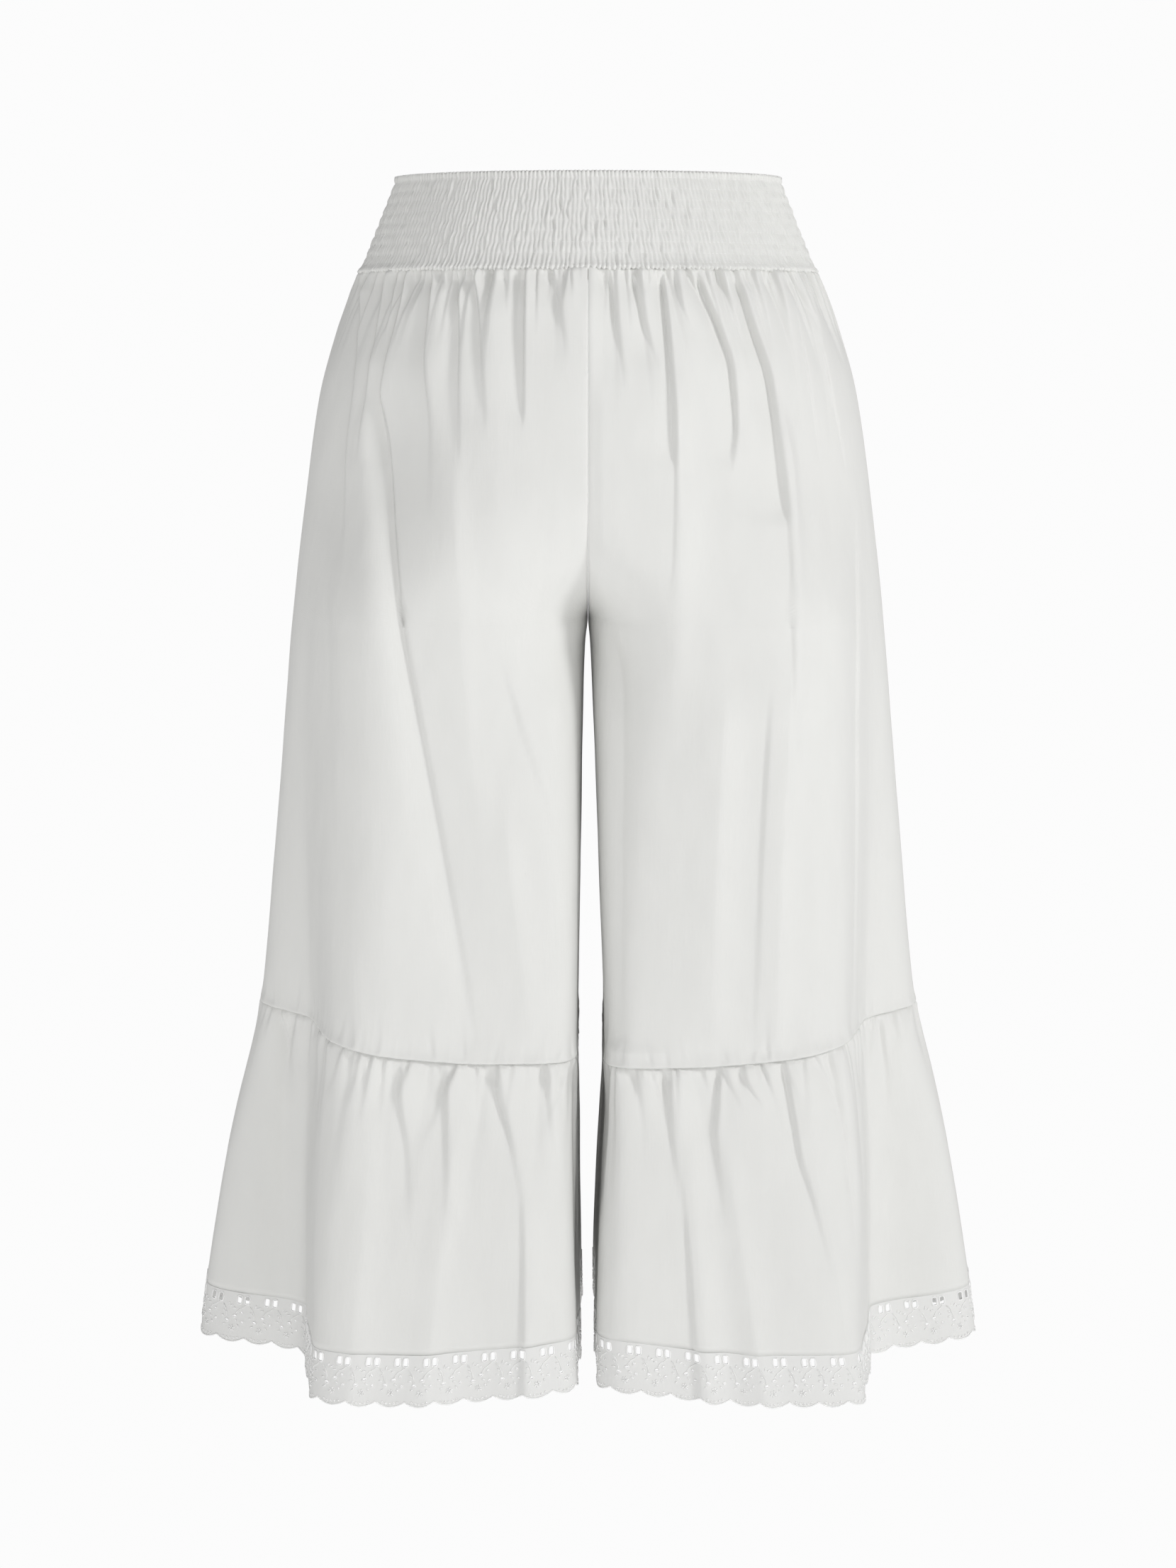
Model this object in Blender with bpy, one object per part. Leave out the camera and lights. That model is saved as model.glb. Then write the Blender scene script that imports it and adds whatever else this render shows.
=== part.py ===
"""Wide-leg cotton trousers, filled out and hollow, as they hang from the waist.

A shirred waistband carries four leg panels. Each leg ends in a gathered flounce
with a scalloped eyelet trim along its hem. Metres, +Z up, the front faces -Y and
the wearer's right leg lies at -X. The origin is the middle of the waistband.
"""

import math
from collections import namedtuple

import bmesh
import bpy
import numpy as np

# Heights from the middle of the waistband.
WAIST_TOP = 0.034
WAIST_SEAM = -0.038
CROTCH = -0.305
HEM_LOWEST = -0.902

# Cloth and seams.
SEAM_GAP = 0.0003
PANEL_CLOTH = 0.0016
FLOUNCE_CLOTH = 0.0016
TRIM_CLOTH = 0.0014
WAISTBAND_CORE = 0.0024

# How late the two legs part between the waist seam and the crotch.
FORK_POWER = 5.0

# The oval that the cloth makes round the body, and below the crotch round each leg.
# A squareness of 2 is an ellipse, and more is a fuller, flatter-sided oval. outer_square
# is for the half towards the side seam and inner_square for the half towards the inseam.
Section = namedtuple(
    "Section", "height half_width front back outer_square inner_square inner_right inner_left"
)
SECTIONS = (
    Section(0.034, 0.1500, 0.106, 0.104, 2.05, 2.05, 0.0000, 0.0000),
    Section(-0.038, 0.1787, 0.136, 0.131, 2.10, 2.10, 0.0000, 0.0000),
    Section(-0.075, 0.1934, 0.148, 0.149, 2.15, 2.15, 0.0000, 0.0000),
    Section(-0.130, 0.2093, 0.154, 0.163, 2.20, 2.20, 0.0000, 0.0000),
    Section(-0.213, 0.2216, 0.155, 0.168, 2.25, 2.25, 0.0000, 0.0000),
    Section(-0.305, 0.2320, 0.150, 0.160, 2.35, 2.40, 0.0000, 0.0000),
    Section(-0.325, 0.2340, 0.149, 0.157, 2.38, 2.60, 0.0022, 0.0016),
    Section(-0.381, 0.2388, 0.146, 0.151, 2.45, 3.60, 0.0042, 0.0044),
    Section(-0.495, 0.2490, 0.144, 0.147, 2.60, 5.60, 0.0060, 0.0085),
    Section(-0.612, 0.2608, 0.146, 0.149, 2.70, 7.20, 0.0080, 0.0124),
    Section(-0.668, 0.2750, 0.152, 0.155, 2.75, 7.80, 0.0086, 0.0126),
    Section(-0.726, 0.2883, 0.159, 0.162, 2.80, 8.40, 0.0082, 0.0100),
    Section(-0.785, 0.2992, 0.166, 0.168, 2.85, 8.80, 0.0082, 0.0074),
    Section(-0.843, 0.3085, 0.172, 0.173, 2.90, 9.20, 0.0076, 0.0062),
    Section(-0.902, 0.3165, 0.178, 0.178, 3.00, 9.60, 0.0070, 0.0070),
)

# The long hollow between the full front or back of a leg and its flatter side,
# as the distance that the oval is drawn in across and from front to back.
Hollow = namedtuple("Hollow", "height across inwards")
SIDE_HOLLOW = (
    Hollow(0.034, 0.000, 0.000),
    Hollow(-0.150, 0.000, 0.000),
    Hollow(-0.213, 0.002, 0.003),
    Hollow(-0.305, 0.005, 0.007),
    Hollow(-0.381, 0.009, 0.010),
    Hollow(-0.495, 0.018, 0.014),
    Hollow(-0.612, 0.031, 0.018),
    Hollow(-0.668, 0.041, 0.026),
    Hollow(-0.726, 0.051, 0.033),
    Hollow(-0.843, 0.070, 0.038),
    Hollow(-0.902, 0.077, 0.039),
)
HOLLOW_ANGLE = 2.60
HOLLOW_REACH_ACROSS = 1.35
HOLLOW_REACH_INWARDS = 0.45
HOLLOW_EASE_BEFORE = 1.5
HOLLOW_EASE_AFTER = 2.5
BACK_HOLLOW_SHARE = 0.85

# Heights of the seams round a leg: share 0 is the inseam and 1 the side seam.
SeamPoint = namedtuple("SeamPoint", "share flounce_seam hem")
SEAM_LINES = {
    "right": (
        SeamPoint(0.00, -0.6320, -0.8890),
        SeamPoint(0.12, -0.6345, -0.8875),
        SeamPoint(0.28, -0.6365, -0.8870),
        SeamPoint(0.42, -0.6370, -0.8935),
        SeamPoint(0.50, -0.6350, -0.8955),
        SeamPoint(0.58, -0.6315, -0.8940),
        SeamPoint(0.68, -0.6230, -0.8910),
        SeamPoint(0.78, -0.6180, -0.8870),
        SeamPoint(1.00, -0.6050, -0.8715),
    ),
    "left": (
        SeamPoint(0.00, -0.6370, -0.8845),
        SeamPoint(0.12, -0.6395, -0.8840),
        SeamPoint(0.28, -0.6405, -0.8850),
        SeamPoint(0.42, -0.6395, -0.8930),
        SeamPoint(0.50, -0.6370, -0.8958),
        SeamPoint(0.58, -0.6330, -0.8960),
        SeamPoint(0.68, -0.6245, -0.8930),
        SeamPoint(0.78, -0.6190, -0.8885),
        SeamPoint(1.00, -0.6065, -0.8725),
    ),
}

# Gathers and folds of the panels. A path is a few pairs of height and distance from the
# centre line, read from the waist down. depth and width are those at its top, and fade
# says how it dies away: below 1 it ends sharply, and above 1 it melts into the cloth.
Fold = namedtuple("Fold", "path depth width fade")
PANEL_FOLDS = {
    ("right", "front"): (
        Fold(((-0.038, 0.013), (-0.075, 0.012)), 0.0026, 0.005, 1.0),
        Fold(((-0.038, 0.028), (-0.066, 0.022), (-0.108, 0.017)), 0.0042, 0.006, 1.0),
        Fold(((-0.038, 0.048), (-0.100, 0.049), (-0.152, 0.049)), 0.0062, 0.006, 0.4),
        Fold(((-0.038, 0.063), (-0.080, 0.062)), 0.0034, 0.006, 1.0),
        Fold(((-0.038, 0.087), (-0.103, 0.081), (-0.160, 0.077)), 0.0052, 0.006, 0.6),
        Fold(((-0.038, 0.100), (-0.103, 0.099), (-0.180, 0.097)), 0.0052, 0.006, 0.7),
        Fold(((-0.038, 0.118), (-0.103, 0.125), (-0.165, 0.121), (-0.240, 0.121)), 0.0056, 0.007, 0.8),
        Fold(((-0.038, 0.132), (-0.075, 0.139)), 0.0030, 0.006, 1.0),
        Fold(((-0.038, 0.139), (-0.076, 0.148), (-0.142, 0.160), (-0.229, 0.150), (-0.394, 0.124),
              (-0.604, 0.091)), 0.0066, 0.010, 0.6),
        Fold(((-0.038, 0.146), (-0.073, 0.154), (-0.112, 0.159)), 0.0036, 0.006, 1.0),
        Fold(((-0.038, 0.154), (-0.076, 0.163), (-0.125, 0.170), (-0.190, 0.175)), 0.0046, 0.008, 0.9),
        Fold(((-0.038, 0.170), (-0.075, 0.178), (-0.123, 0.182), (-0.177, 0.186), (-0.260, 0.187)),
             0.0046, 0.010, 0.9),
    ),
    ("left", "front"): (
        Fold(((-0.038, 0.007), (-0.060, 0.010)), 0.0026, 0.005, 1.0),
        Fold(((-0.038, 0.017), (-0.077, 0.021), (-0.132, 0.026)), 0.0044, 0.006, 0.9),
        Fold(((-0.038, 0.033), (-0.077, 0.041), (-0.116, 0.050)), 0.0048, 0.007, 0.8),
        Fold(((-0.038, 0.045), (-0.062, 0.045)), 0.0026, 0.005, 1.0),
        Fold(((-0.038, 0.056), (-0.097, 0.060), (-0.181, 0.062), (-0.367, 0.059)), 0.0064, 0.009, 0.6),
        Fold(((-0.038, 0.067), (-0.066, 0.071), (-0.098, 0.082)), 0.0034, 0.006, 1.0),
        Fold(((-0.038, 0.081), (-0.082, 0.099), (-0.113, 0.108), (-0.153, 0.110), (-0.185, 0.106)),
             0.0052, 0.007, 0.6),
        Fold(((-0.038, 0.098), (-0.071, 0.108), (-0.108, 0.120)), 0.0034, 0.006, 1.0),
        Fold(((-0.038, 0.112), (-0.087, 0.127), (-0.123, 0.137), (-0.181, 0.141), (-0.225, 0.146),
              (-0.380, 0.152)), 0.0068, 0.010, 0.5),
        Fold(((-0.038, 0.134), (-0.076, 0.147), (-0.105, 0.153)), 0.0036, 0.006, 1.0),
        Fold(((-0.038, 0.150), (-0.071, 0.164), (-0.120, 0.178)), 0.0034, 0.007, 1.0),
        Fold(((-0.038, 0.166), (-0.070, 0.174), (-0.134, 0.187), (-0.190, 0.195)), 0.0034, 0.008, 1.0),
    ),
    ("right", "back"): (
        Fold(((-0.038, 0.011), (-0.085, 0.012)), 0.0034, 0.006, 1.0),
        Fold(((-0.038, 0.025), (-0.100, 0.024), (-0.150, 0.021)), 0.0050, 0.007, 0.7),
        Fold(((-0.038, 0.041), (-0.080, 0.043)), 0.0036, 0.006, 1.0),
        Fold(((-0.038, 0.056), (-0.110, 0.060), (-0.190, 0.061)), 0.0054, 0.007, 0.6),
        Fold(((-0.038, 0.071), (-0.090, 0.074)), 0.0034, 0.006, 1.0),
        Fold(((-0.038, 0.087), (-0.130, 0.095), (-0.240, 0.099), (-0.380, 0.092)), 0.0064, 0.009, 0.6),
        Fold(((-0.038, 0.101), (-0.085, 0.108)), 0.0034, 0.006, 1.0),
        Fold(((-0.038, 0.114), (-0.100, 0.124), (-0.160, 0.129)), 0.0048, 0.007, 0.8),
        Fold(((-0.038, 0.127), (-0.110, 0.143), (-0.230, 0.151), (-0.430, 0.146)), 0.0060, 0.010, 0.6),
        Fold(((-0.038, 0.141), (-0.090, 0.153)), 0.0034, 0.006, 1.0),
        Fold(((-0.038, 0.155), (-0.110, 0.171), (-0.180, 0.177)), 0.0042, 0.008, 0.9),
        Fold(((-0.038, 0.168), (-0.095, 0.182)), 0.0030, 0.007, 1.0),
    ),
    ("left", "back"): (
        Fold(((-0.038, 0.009), (-0.078, 0.009)), 0.0032, 0.006, 1.0),
        Fold(((-0.038, 0.022), (-0.110, 0.026), (-0.170, 0.026)), 0.0052, 0.007, 0.7),
        Fold(((-0.038, 0.037), (-0.085, 0.036)), 0.0036, 0.006, 1.0),
        Fold(((-0.038, 0.052), (-0.120, 0.058), (-0.230, 0.062)), 0.0056, 0.008, 0.7),
        Fold(((-0.038, 0.067), (-0.085, 0.068)), 0.0034, 0.006, 1.0),
        Fold(((-0.038, 0.082), (-0.105, 0.089), (-0.165, 0.091)), 0.0048, 0.007, 0.8),
        Fold(((-0.038, 0.096), (-0.130, 0.109), (-0.250, 0.113), (-0.420, 0.104)), 0.0064, 0.010, 0.6),
        Fold(((-0.038, 0.110), (-0.090, 0.119)), 0.0034, 0.006, 1.0),
        Fold(((-0.038, 0.124), (-0.110, 0.137), (-0.200, 0.144)), 0.0052, 0.008, 0.8),
        Fold(((-0.038, 0.139), (-0.085, 0.151)), 0.0032, 0.006, 1.0),
        Fold(((-0.038, 0.153), (-0.110, 0.169), (-0.185, 0.177)), 0.0042, 0.008, 0.9),
        Fold(((-0.038, 0.167), (-0.090, 0.181)), 0.0030, 0.007, 1.0),
    ),
}
FOLD_SPREAD = 1.6
FOLD_ROUNDNESS = 1.5
FOLD_SHOULDER = 0.30
FOLD_SHOULDER_PLACE = 1.9
FOLD_DEPTH_AT_SEAM = 0.6
FOLD_FULL_DROP = 0.006
GATHER_PUFF = 0.0022
GATHER_PUFF_DROP = 0.030
GATHER_PUFF_START = 0.004
CENTRE_SEAM_CALM = 0.03
SIDE_SEAM_CALM = 0.02

# The shirred waistband.
SHIRR_RIDGES = 80
SHIRR_RIDGE_RISE = 0.0018
SHIRR_PINCHED_SHARE = 0.55
SHIRR_INSET = 0.0022
SHIRR_PUFF = 0.0008
SHIRR_HEADER = 0.008
SHIRR_BANDS = 6

# The flounce: small gathers under its seam and soft waves that grow to the hem.
FLOUNCE_GATHERS_PER_PANEL = 12
FLOUNCE_GATHER_DEPTH = 0.0030
FLOUNCE_GATHER_DROP = 0.055
FLOUNCE_GATHER_EASE = 1.5
FLOUNCE_WAVE = 0.0045
FLOUNCE_WAVE_EASE = 1.3
FLOUNCE_WAVES_PER_PANEL = 6
FLOUNCE_WAVE_DRIFT = 0.35
FLOUNCE_WAVE_DRIFT_RATE = 5.1
FLOUNCE_WAVE_DRIFT_START = {"front": 0.7, "back": 2.3}
FLOUNCE_INSEAM_CALM = 0.22
FLOUNCE_SIDE_CALM = 0.06

# The eyelet trim.
TRIM_HEIGHT = 0.0395
SCALLOP_WIDTH = 0.0225
SCALLOP_DEPTH = 0.0040
SCALLOP_FULLNESS = 0.8
SLOT_TOP = 0.0020
SLOT_HEIGHT = 0.0062
SLOT_WIDTH = 0.0036
SLOT_PAIR_SPACING = 0.0064
SLOT_PAIR_PLACE = 0.19

# How finely the solids are faceted.
PANEL_ROWS_TO_CROTCH = (0.0, 0.04, 0.14, 0.30, 0.50, 0.70, 0.86, 0.95, 1.0)
PANEL_ROWS_TO_FLOUNCE = (0.12, 0.40, 0.70, 1.0)
FLOUNCE_ROWS = (0.0, 0.10, 0.28, 0.52, 0.76, 1.0)
SCALLOP_STEPS = 4
EVEN_COLUMNS_AT_CROTCH = 0.5
EVEN_COLUMNS_RATE = 1.3
CURVE_STEPS = 400
SHARE_STEPS = 241
LEVELS_IN_WAISTBAND = 8
LEVELS_TO_CROTCH = 70
LEVELS_CROWDING = 2.5
LEVELS_BELOW = 70
SHARE_BEFORE_HOLLOW = 0.8
NORMAL_STEP_SHARE = 0.006
NORMAL_STEP_HEIGHT = 0.0006
CROTCH_SLANT = math.radians(60)
SHARP_EDGE = math.radians(50)

SIDES = ("right", "left")
FACES = ("front", "back")
COTTON_WHITE = (0.86, 0.86, 0.84, 1.0)
COTTON_ROUGHNESS = 0.85


def smooth_between(knots, values, at):
    """Monotone cubic through rising knots, so that a table gives a curve with no kinks."""
    knots = np.asarray(knots, float)
    values = np.asarray(values, float)
    at = np.clip(at, knots[0], knots[-1])
    steps = np.diff(knots)
    slopes = np.diff(values) / steps
    tangents = np.zeros_like(values)
    same_way = slopes[:-1] * slopes[1:] > 0
    mean = 2 * slopes[:-1] * slopes[1:] / np.where(same_way, slopes[:-1] + slopes[1:], 1.0)
    tangents[1:-1] = np.where(same_way, mean, 0.0)
    tangents[0] = slopes[0]
    tangents[-1] = slopes[-1]
    cell = np.clip(np.searchsorted(knots, at, side="right") - 1, 0, len(steps) - 1)
    width = steps[cell]
    t = (at - knots[cell]) / width
    return (
        values[cell] * (1 + 2 * t) * (1 - t) ** 2
        + values[cell + 1] * t**2 * (3 - 2 * t)
        + tangents[cell] * width * t * (1 - t) ** 2
        + tangents[cell + 1] * width * t**2 * (t - 1)
    )


def column(table, name, height):
    """One column of a table of sections, read at any height."""
    rows = table[::-1]
    return smooth_between([row.height for row in rows], [getattr(row, name) for row in rows], height)


def seam_height(side, name, share):
    """Height of a seam line at a share of the way from the inseam to the side seam."""
    line = SEAM_LINES[side]
    return smooth_between([row.share for row in line], [getattr(row, name) for row in line], share)


def fork(height):
    """0 where one oval goes round both legs, 1 where each leg has its own."""
    drop = np.clip((WAIST_SEAM - height) / (WAIST_SEAM - CROTCH), 0.0, 1.0)
    return drop**FORK_POWER * (FORK_POWER + 1 - FORK_POWER * drop)


def bell(angle, middle, before, after):
    """A rounded hill over an angle: 1 at the middle, 0 at before and at after."""
    width = np.where(angle < middle, middle - before, after - middle)
    away = np.clip(np.abs(angle - middle) / width, 0.0, 1.0)
    return 0.5 * (1 + np.cos(math.pi * away))


def plan_curve(side, face, height):
    """The cloth's line in plan, from the inseam or the centre seam round to the side seam."""
    parted = float(fork(height))
    inner_square = float(column(SECTIONS, "inner_square", height))
    outer_square = float(column(SECTIONS, "outer_square", height))
    inner = float(column(SECTIONS, f"inner_{side}", height))
    half_width = float(column(SECTIONS, "half_width", height))
    depth = float(column(SECTIONS, face, height))
    radius = (half_width - inner) / (1 + parted)
    centre = inner + parted * radius
    first = math.acos(min(1.0, parted ** (inner_square / 2)))
    angle = np.linspace(first, math.pi, CURVE_STEPS)
    square = np.where(angle < math.pi / 2, inner_square, outer_square)
    across = np.sign(np.cos(angle)) * np.abs(np.cos(angle)) ** (2 / square)
    along = np.abs(np.sin(angle)) ** (2 / square)
    # The long hollow before or behind the side seam draws the line across and inwards.
    strength = 1.0 if face == "front" else BACK_HOLLOW_SHARE
    drawn_across = bell(angle, HOLLOW_ANGLE, HOLLOW_ANGLE - HOLLOW_REACH_ACROSS, math.pi)
    drawn_across = drawn_across ** np.where(angle > HOLLOW_ANGLE, HOLLOW_EASE_AFTER, HOLLOW_EASE_BEFORE)
    drawn_inwards = bell(angle, HOLLOW_ANGLE, HOLLOW_ANGLE - HOLLOW_REACH_INWARDS, math.pi)
    x = centre - radius * across - strength * drawn_across * float(column(SIDE_HOLLOW, "across", height))
    y = depth * along - strength * drawn_inwards * float(column(SIDE_HOLLOW, "inwards", height))
    x = -x if side == "right" else x
    y = -y if face == "front" else y
    return x, y


def even_shares(x, y):
    """The line resampled at even shares of its length, and that length."""
    run = np.concatenate([[0.0], np.cumsum(np.hypot(np.diff(x), np.diff(y)))])
    share = np.linspace(0.0, 1.0, SHARE_STEPS)
    return np.interp(share * run[-1], run, x), np.interp(share * run[-1], run, y), run[-1]


def level_list():
    """Heights where the plan lines are worked out, closest together just above the crotch."""
    upper = np.linspace(WAIST_TOP, WAIST_SEAM, LEVELS_IN_WAISTBAND + 1)[:-1]
    drop = 1 - (1 - np.linspace(0.0, 1.0, LEVELS_TO_CROTCH)) ** LEVELS_CROWDING
    fork_levels = WAIST_SEAM + (CROTCH - WAIST_SEAM) * drop
    lower = np.linspace(CROTCH, HEM_LOWEST, LEVELS_BELOW + 1)[1:]
    return np.concatenate([upper, fork_levels, lower])


class PanelSurface:
    """The smooth surface of one leg's front or back, from the waist to the hem."""

    def __init__(self, side, face):
        self.side = side
        self.face = face
        self.levels = level_list()
        lines = [even_shares(*plan_curve(side, face, height)) for height in self.levels]
        self.x = np.array([line[0] for line in lines])
        self.y = np.array([line[1] for line in lines])
        self.length = np.array([line[2] for line in lines])
        self.turn = 1.0 if (side == "left") == (face == "front") else -1.0

    def point(self, share, height):
        """Points of the surface, as an array whose last axis is x, y, z."""
        share, height = np.broadcast_arrays(np.asarray(share, float), np.asarray(height, float))
        place = np.interp(-height, -self.levels, np.arange(len(self.levels)))
        row = np.minimum(place.astype(int), len(self.levels) - 2)
        down = place - row
        along = np.clip(share, 0.0, 1.0) * (SHARE_STEPS - 1)
        cell = np.minimum(along.astype(int), SHARE_STEPS - 2)
        part = along - cell

        def read(grid):
            upper = grid[row, cell] * (1 - part) + grid[row, cell + 1] * part
            lower = grid[row + 1, cell] * (1 - part) + grid[row + 1, cell + 1] * part
            return upper * (1 - down) + lower * down

        return np.stack([read(self.x), read(self.y), height], axis=-1)

    def line_length(self, height):
        """Length of the plan line from the inseam to the side seam."""
        return np.interp(-np.asarray(height, float), -self.levels, self.length)

    def share_at(self, distance, height):
        """Share of the line where it is this far from the centre line, on its way to the hollow."""
        most = int(SHARE_BEFORE_HOLLOW * SHARE_STEPS)
        shares = np.linspace(0.0, 1.0, SHARE_STEPS)[:most]
        rows = np.interp(-np.asarray(height, float), -self.levels, np.arange(len(self.levels)))
        rows = np.rint(rows).astype(int)
        reach = np.maximum.accumulate(np.abs(self.x[:, :most]), axis=1)
        return np.array([np.interp(d, reach[row], shares) for d, row in zip(distance, rows)])

    def outward(self, share, height):
        """Unit normals that point away from the body."""
        after = self.point(np.minimum(share + NORMAL_STEP_SHARE, 1.0), height)
        before = self.point(np.maximum(share - NORMAL_STEP_SHARE, 0.0), height)
        above = self.point(share, height + NORMAL_STEP_HEIGHT)
        below = self.point(share, height - NORMAL_STEP_HEIGHT)
        normal = np.cross(after - before, above - below) * self.turn
        return normal / np.maximum(np.linalg.norm(normal, axis=-1, keepdims=True), 1e-12)


def surfaces():
    """All four panel surfaces, by side and face."""
    return {(side, face): PanelSurface(side, face) for side in SIDES for face in FACES}


def fold_lift(surface, share, height):
    """How far gathers and folds raise or sink a panel's cloth."""
    length = surface.line_length(height)
    below = np.maximum(WAIST_SEAM - height, 0.0)
    puff = GATHER_PUFF * np.exp(-((below / GATHER_PUFF_DROP) ** 2))
    lift = puff * np.minimum(below / GATHER_PUFF_START, 1.0)
    start = FOLD_DEPTH_AT_SEAM + (1 - FOLD_DEPTH_AT_SEAM) * np.minimum(below / FOLD_FULL_DROP, 1.0)
    for fold in PANEL_FOLDS[(surface.side, surface.face)]:
        heights = np.array([place[0] for place in fold.path])
        distances = np.array([place[1] for place in fold.path])
        levels = surface.levels
        path = surface.share_at(smooth_between(heights[::-1], distances[::-1], levels), levels)
        drop = np.clip(below / (heights[0] - heights[-1]), 0.0, 1.0)
        middle = np.interp(-height, -levels, path)
        away = np.abs(share - middle) * length / (fold.width * (1 + FOLD_SPREAD * drop))
        shoulder = FOLD_SHOULDER * np.exp(-((away - FOLD_SHOULDER_PLACE) ** 2))
        valley = np.exp(-(away**FOLD_ROUNDNESS)) - shoulder
        lift = lift - fold.depth * (1 - drop) ** fold.fade * start * valley
    return lift * np.minimum(share / CENTRE_SEAM_CALM, 1.0) * np.minimum((1 - share) / SIDE_SEAM_CALM, 1.0)


def flounce_lift(face, share, height, seam, hem):
    """How far gathers and waves raise or sink the flounce and its trim."""
    drop = np.clip((seam - height) / (seam - hem), 0.0, 1.0)
    below = np.maximum(seam - height, 0.0)
    gathers = 0.5 * np.cos(2 * math.pi * FLOUNCE_GATHERS_PER_PANEL * share)
    drift = np.sin(FLOUNCE_WAVE_DRIFT_RATE * share + FLOUNCE_WAVE_DRIFT_START[face])
    waves = np.cos(2 * math.pi * (FLOUNCE_WAVES_PER_PANEL * share + FLOUNCE_WAVE_DRIFT * drift))
    lift = FLOUNCE_GATHER_DEPTH * gathers * np.exp(-((below / FLOUNCE_GATHER_DROP) ** FLOUNCE_GATHER_EASE))
    lift = lift + FLOUNCE_WAVE * waves * drop**FLOUNCE_WAVE_EASE
    calm = np.minimum(share / FLOUNCE_INSEAM_CALM, 1.0) * np.minimum((1 - share) / FLOUNCE_SIDE_CALM, 1.0)
    return lift * calm


def keep_to_side(points, side, face):
    """Holds points half a seam gap clear of the centre seams, the inseam and the side seam."""
    across = -1.0 if side == "right" else 1.0
    along = -1.0 if face == "front" else 1.0
    points[..., 0] = across * np.maximum(across * points[..., 0], SEAM_GAP / 2)
    points[..., 1] = along * np.maximum(along * points[..., 1], SEAM_GAP / 2)
    return points


def level_rims(normal):
    """Makes the walls' normals level in the first and last row, where a seam is."""
    for row in (0, -1):
        normal[row, :, 2] = 0.0
        normal[row] /= np.linalg.norm(normal[row], axis=-1, keepdims=True)
    return normal


def grid_faces(rows, columns, first, closed):
    """Four-sided faces of a grid of points, numbered from first."""
    faces = []
    for row in range(rows - 1):
        for place in range(columns if closed else columns - 1):
            after = (place + 1) % columns
            low = first + row * columns
            high = low + columns
            faces.append((low + place, low + after, high + after, high + place))
    return faces


def bridge(first_line, first_places, second_line, second_places):
    """Triangles between two lines of vertices with different numbers of points."""
    faces = []
    i = 0
    j = 0
    while i < len(first_line) - 1 or j < len(second_line) - 1:
        next_first = first_places[i + 1] if i < len(first_line) - 1 else math.inf
        next_second = second_places[j + 1] if j < len(second_line) - 1 else math.inf
        if next_first <= next_second:
            faces.append((first_line[i], first_line[i + 1], second_line[j]))
            i += 1
        else:
            faces.append((first_line[i], second_line[j + 1], second_line[j]))
            j += 1
    return faces


def make_piece(name, points, faces, material, collection):
    """A closed, smoothly shaded mesh object whose faces point outwards."""
    mesh = bpy.data.meshes.new(name)
    mesh.from_pydata([tuple(map(float, point)) for point in points], [], faces)
    work = bmesh.new()
    work.from_mesh(mesh)
    bmesh.ops.recalc_face_normals(work, faces=work.faces)
    if work.calc_volume(signed=True) < 0:
        bmesh.ops.reverse_faces(work, faces=work.faces)
    bmesh.ops.triangulate(work, faces=work.faces)
    work.to_mesh(mesh)
    work.free()
    mesh.shade_smooth()
    mesh.set_sharp_from_angle(angle=SHARP_EDGE)
    mesh.materials.append(material)
    piece = bpy.data.objects.new(name, mesh)
    collection.objects.link(piece)
    return piece


def wall_between(outer, inner, closed):
    """Points and faces of the closed wall between two grids of the same size."""
    rows, columns = outer.shape[:2]
    count = rows * columns
    points = np.concatenate([outer.reshape(-1, 3), inner.reshape(-1, 3)])
    faces = grid_faces(rows, columns, 0, closed)
    faces += [face[::-1] for face in grid_faces(rows, columns, count, closed)]
    for row in (0, rows - 1):
        for place in range(columns if closed else columns - 1):
            here = row * columns + place
            after = row * columns + (place + 1) % columns
            faces.append((here, after, after + count, here + count))
    if not closed:
        for place in (0, columns - 1):
            for row in range(rows - 1):
                here = row * columns + place
                below = here + columns
                faces.append((here, below, below + count, here + count))
    return points, faces


def panel_columns(surface, drop):
    """Shares of a panel's columns: on the folds at the waist, evenly spaced lower down."""
    folds = PANEL_FOLDS[(surface.side, surface.face)]
    tops = [fold.path[0][1] for fold in folds]
    on_folds = surface.share_at(tops, [WAIST_SEAM] * len(tops))
    between = 0.5 * (on_folds[:-1] + on_folds[1:])
    at_waist = np.sort(np.concatenate([[0.0], on_folds, between, [1.0]]))
    even = np.linspace(0.0, 1.0, len(at_waist))
    return at_waist + (even - at_waist) * drop


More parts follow.
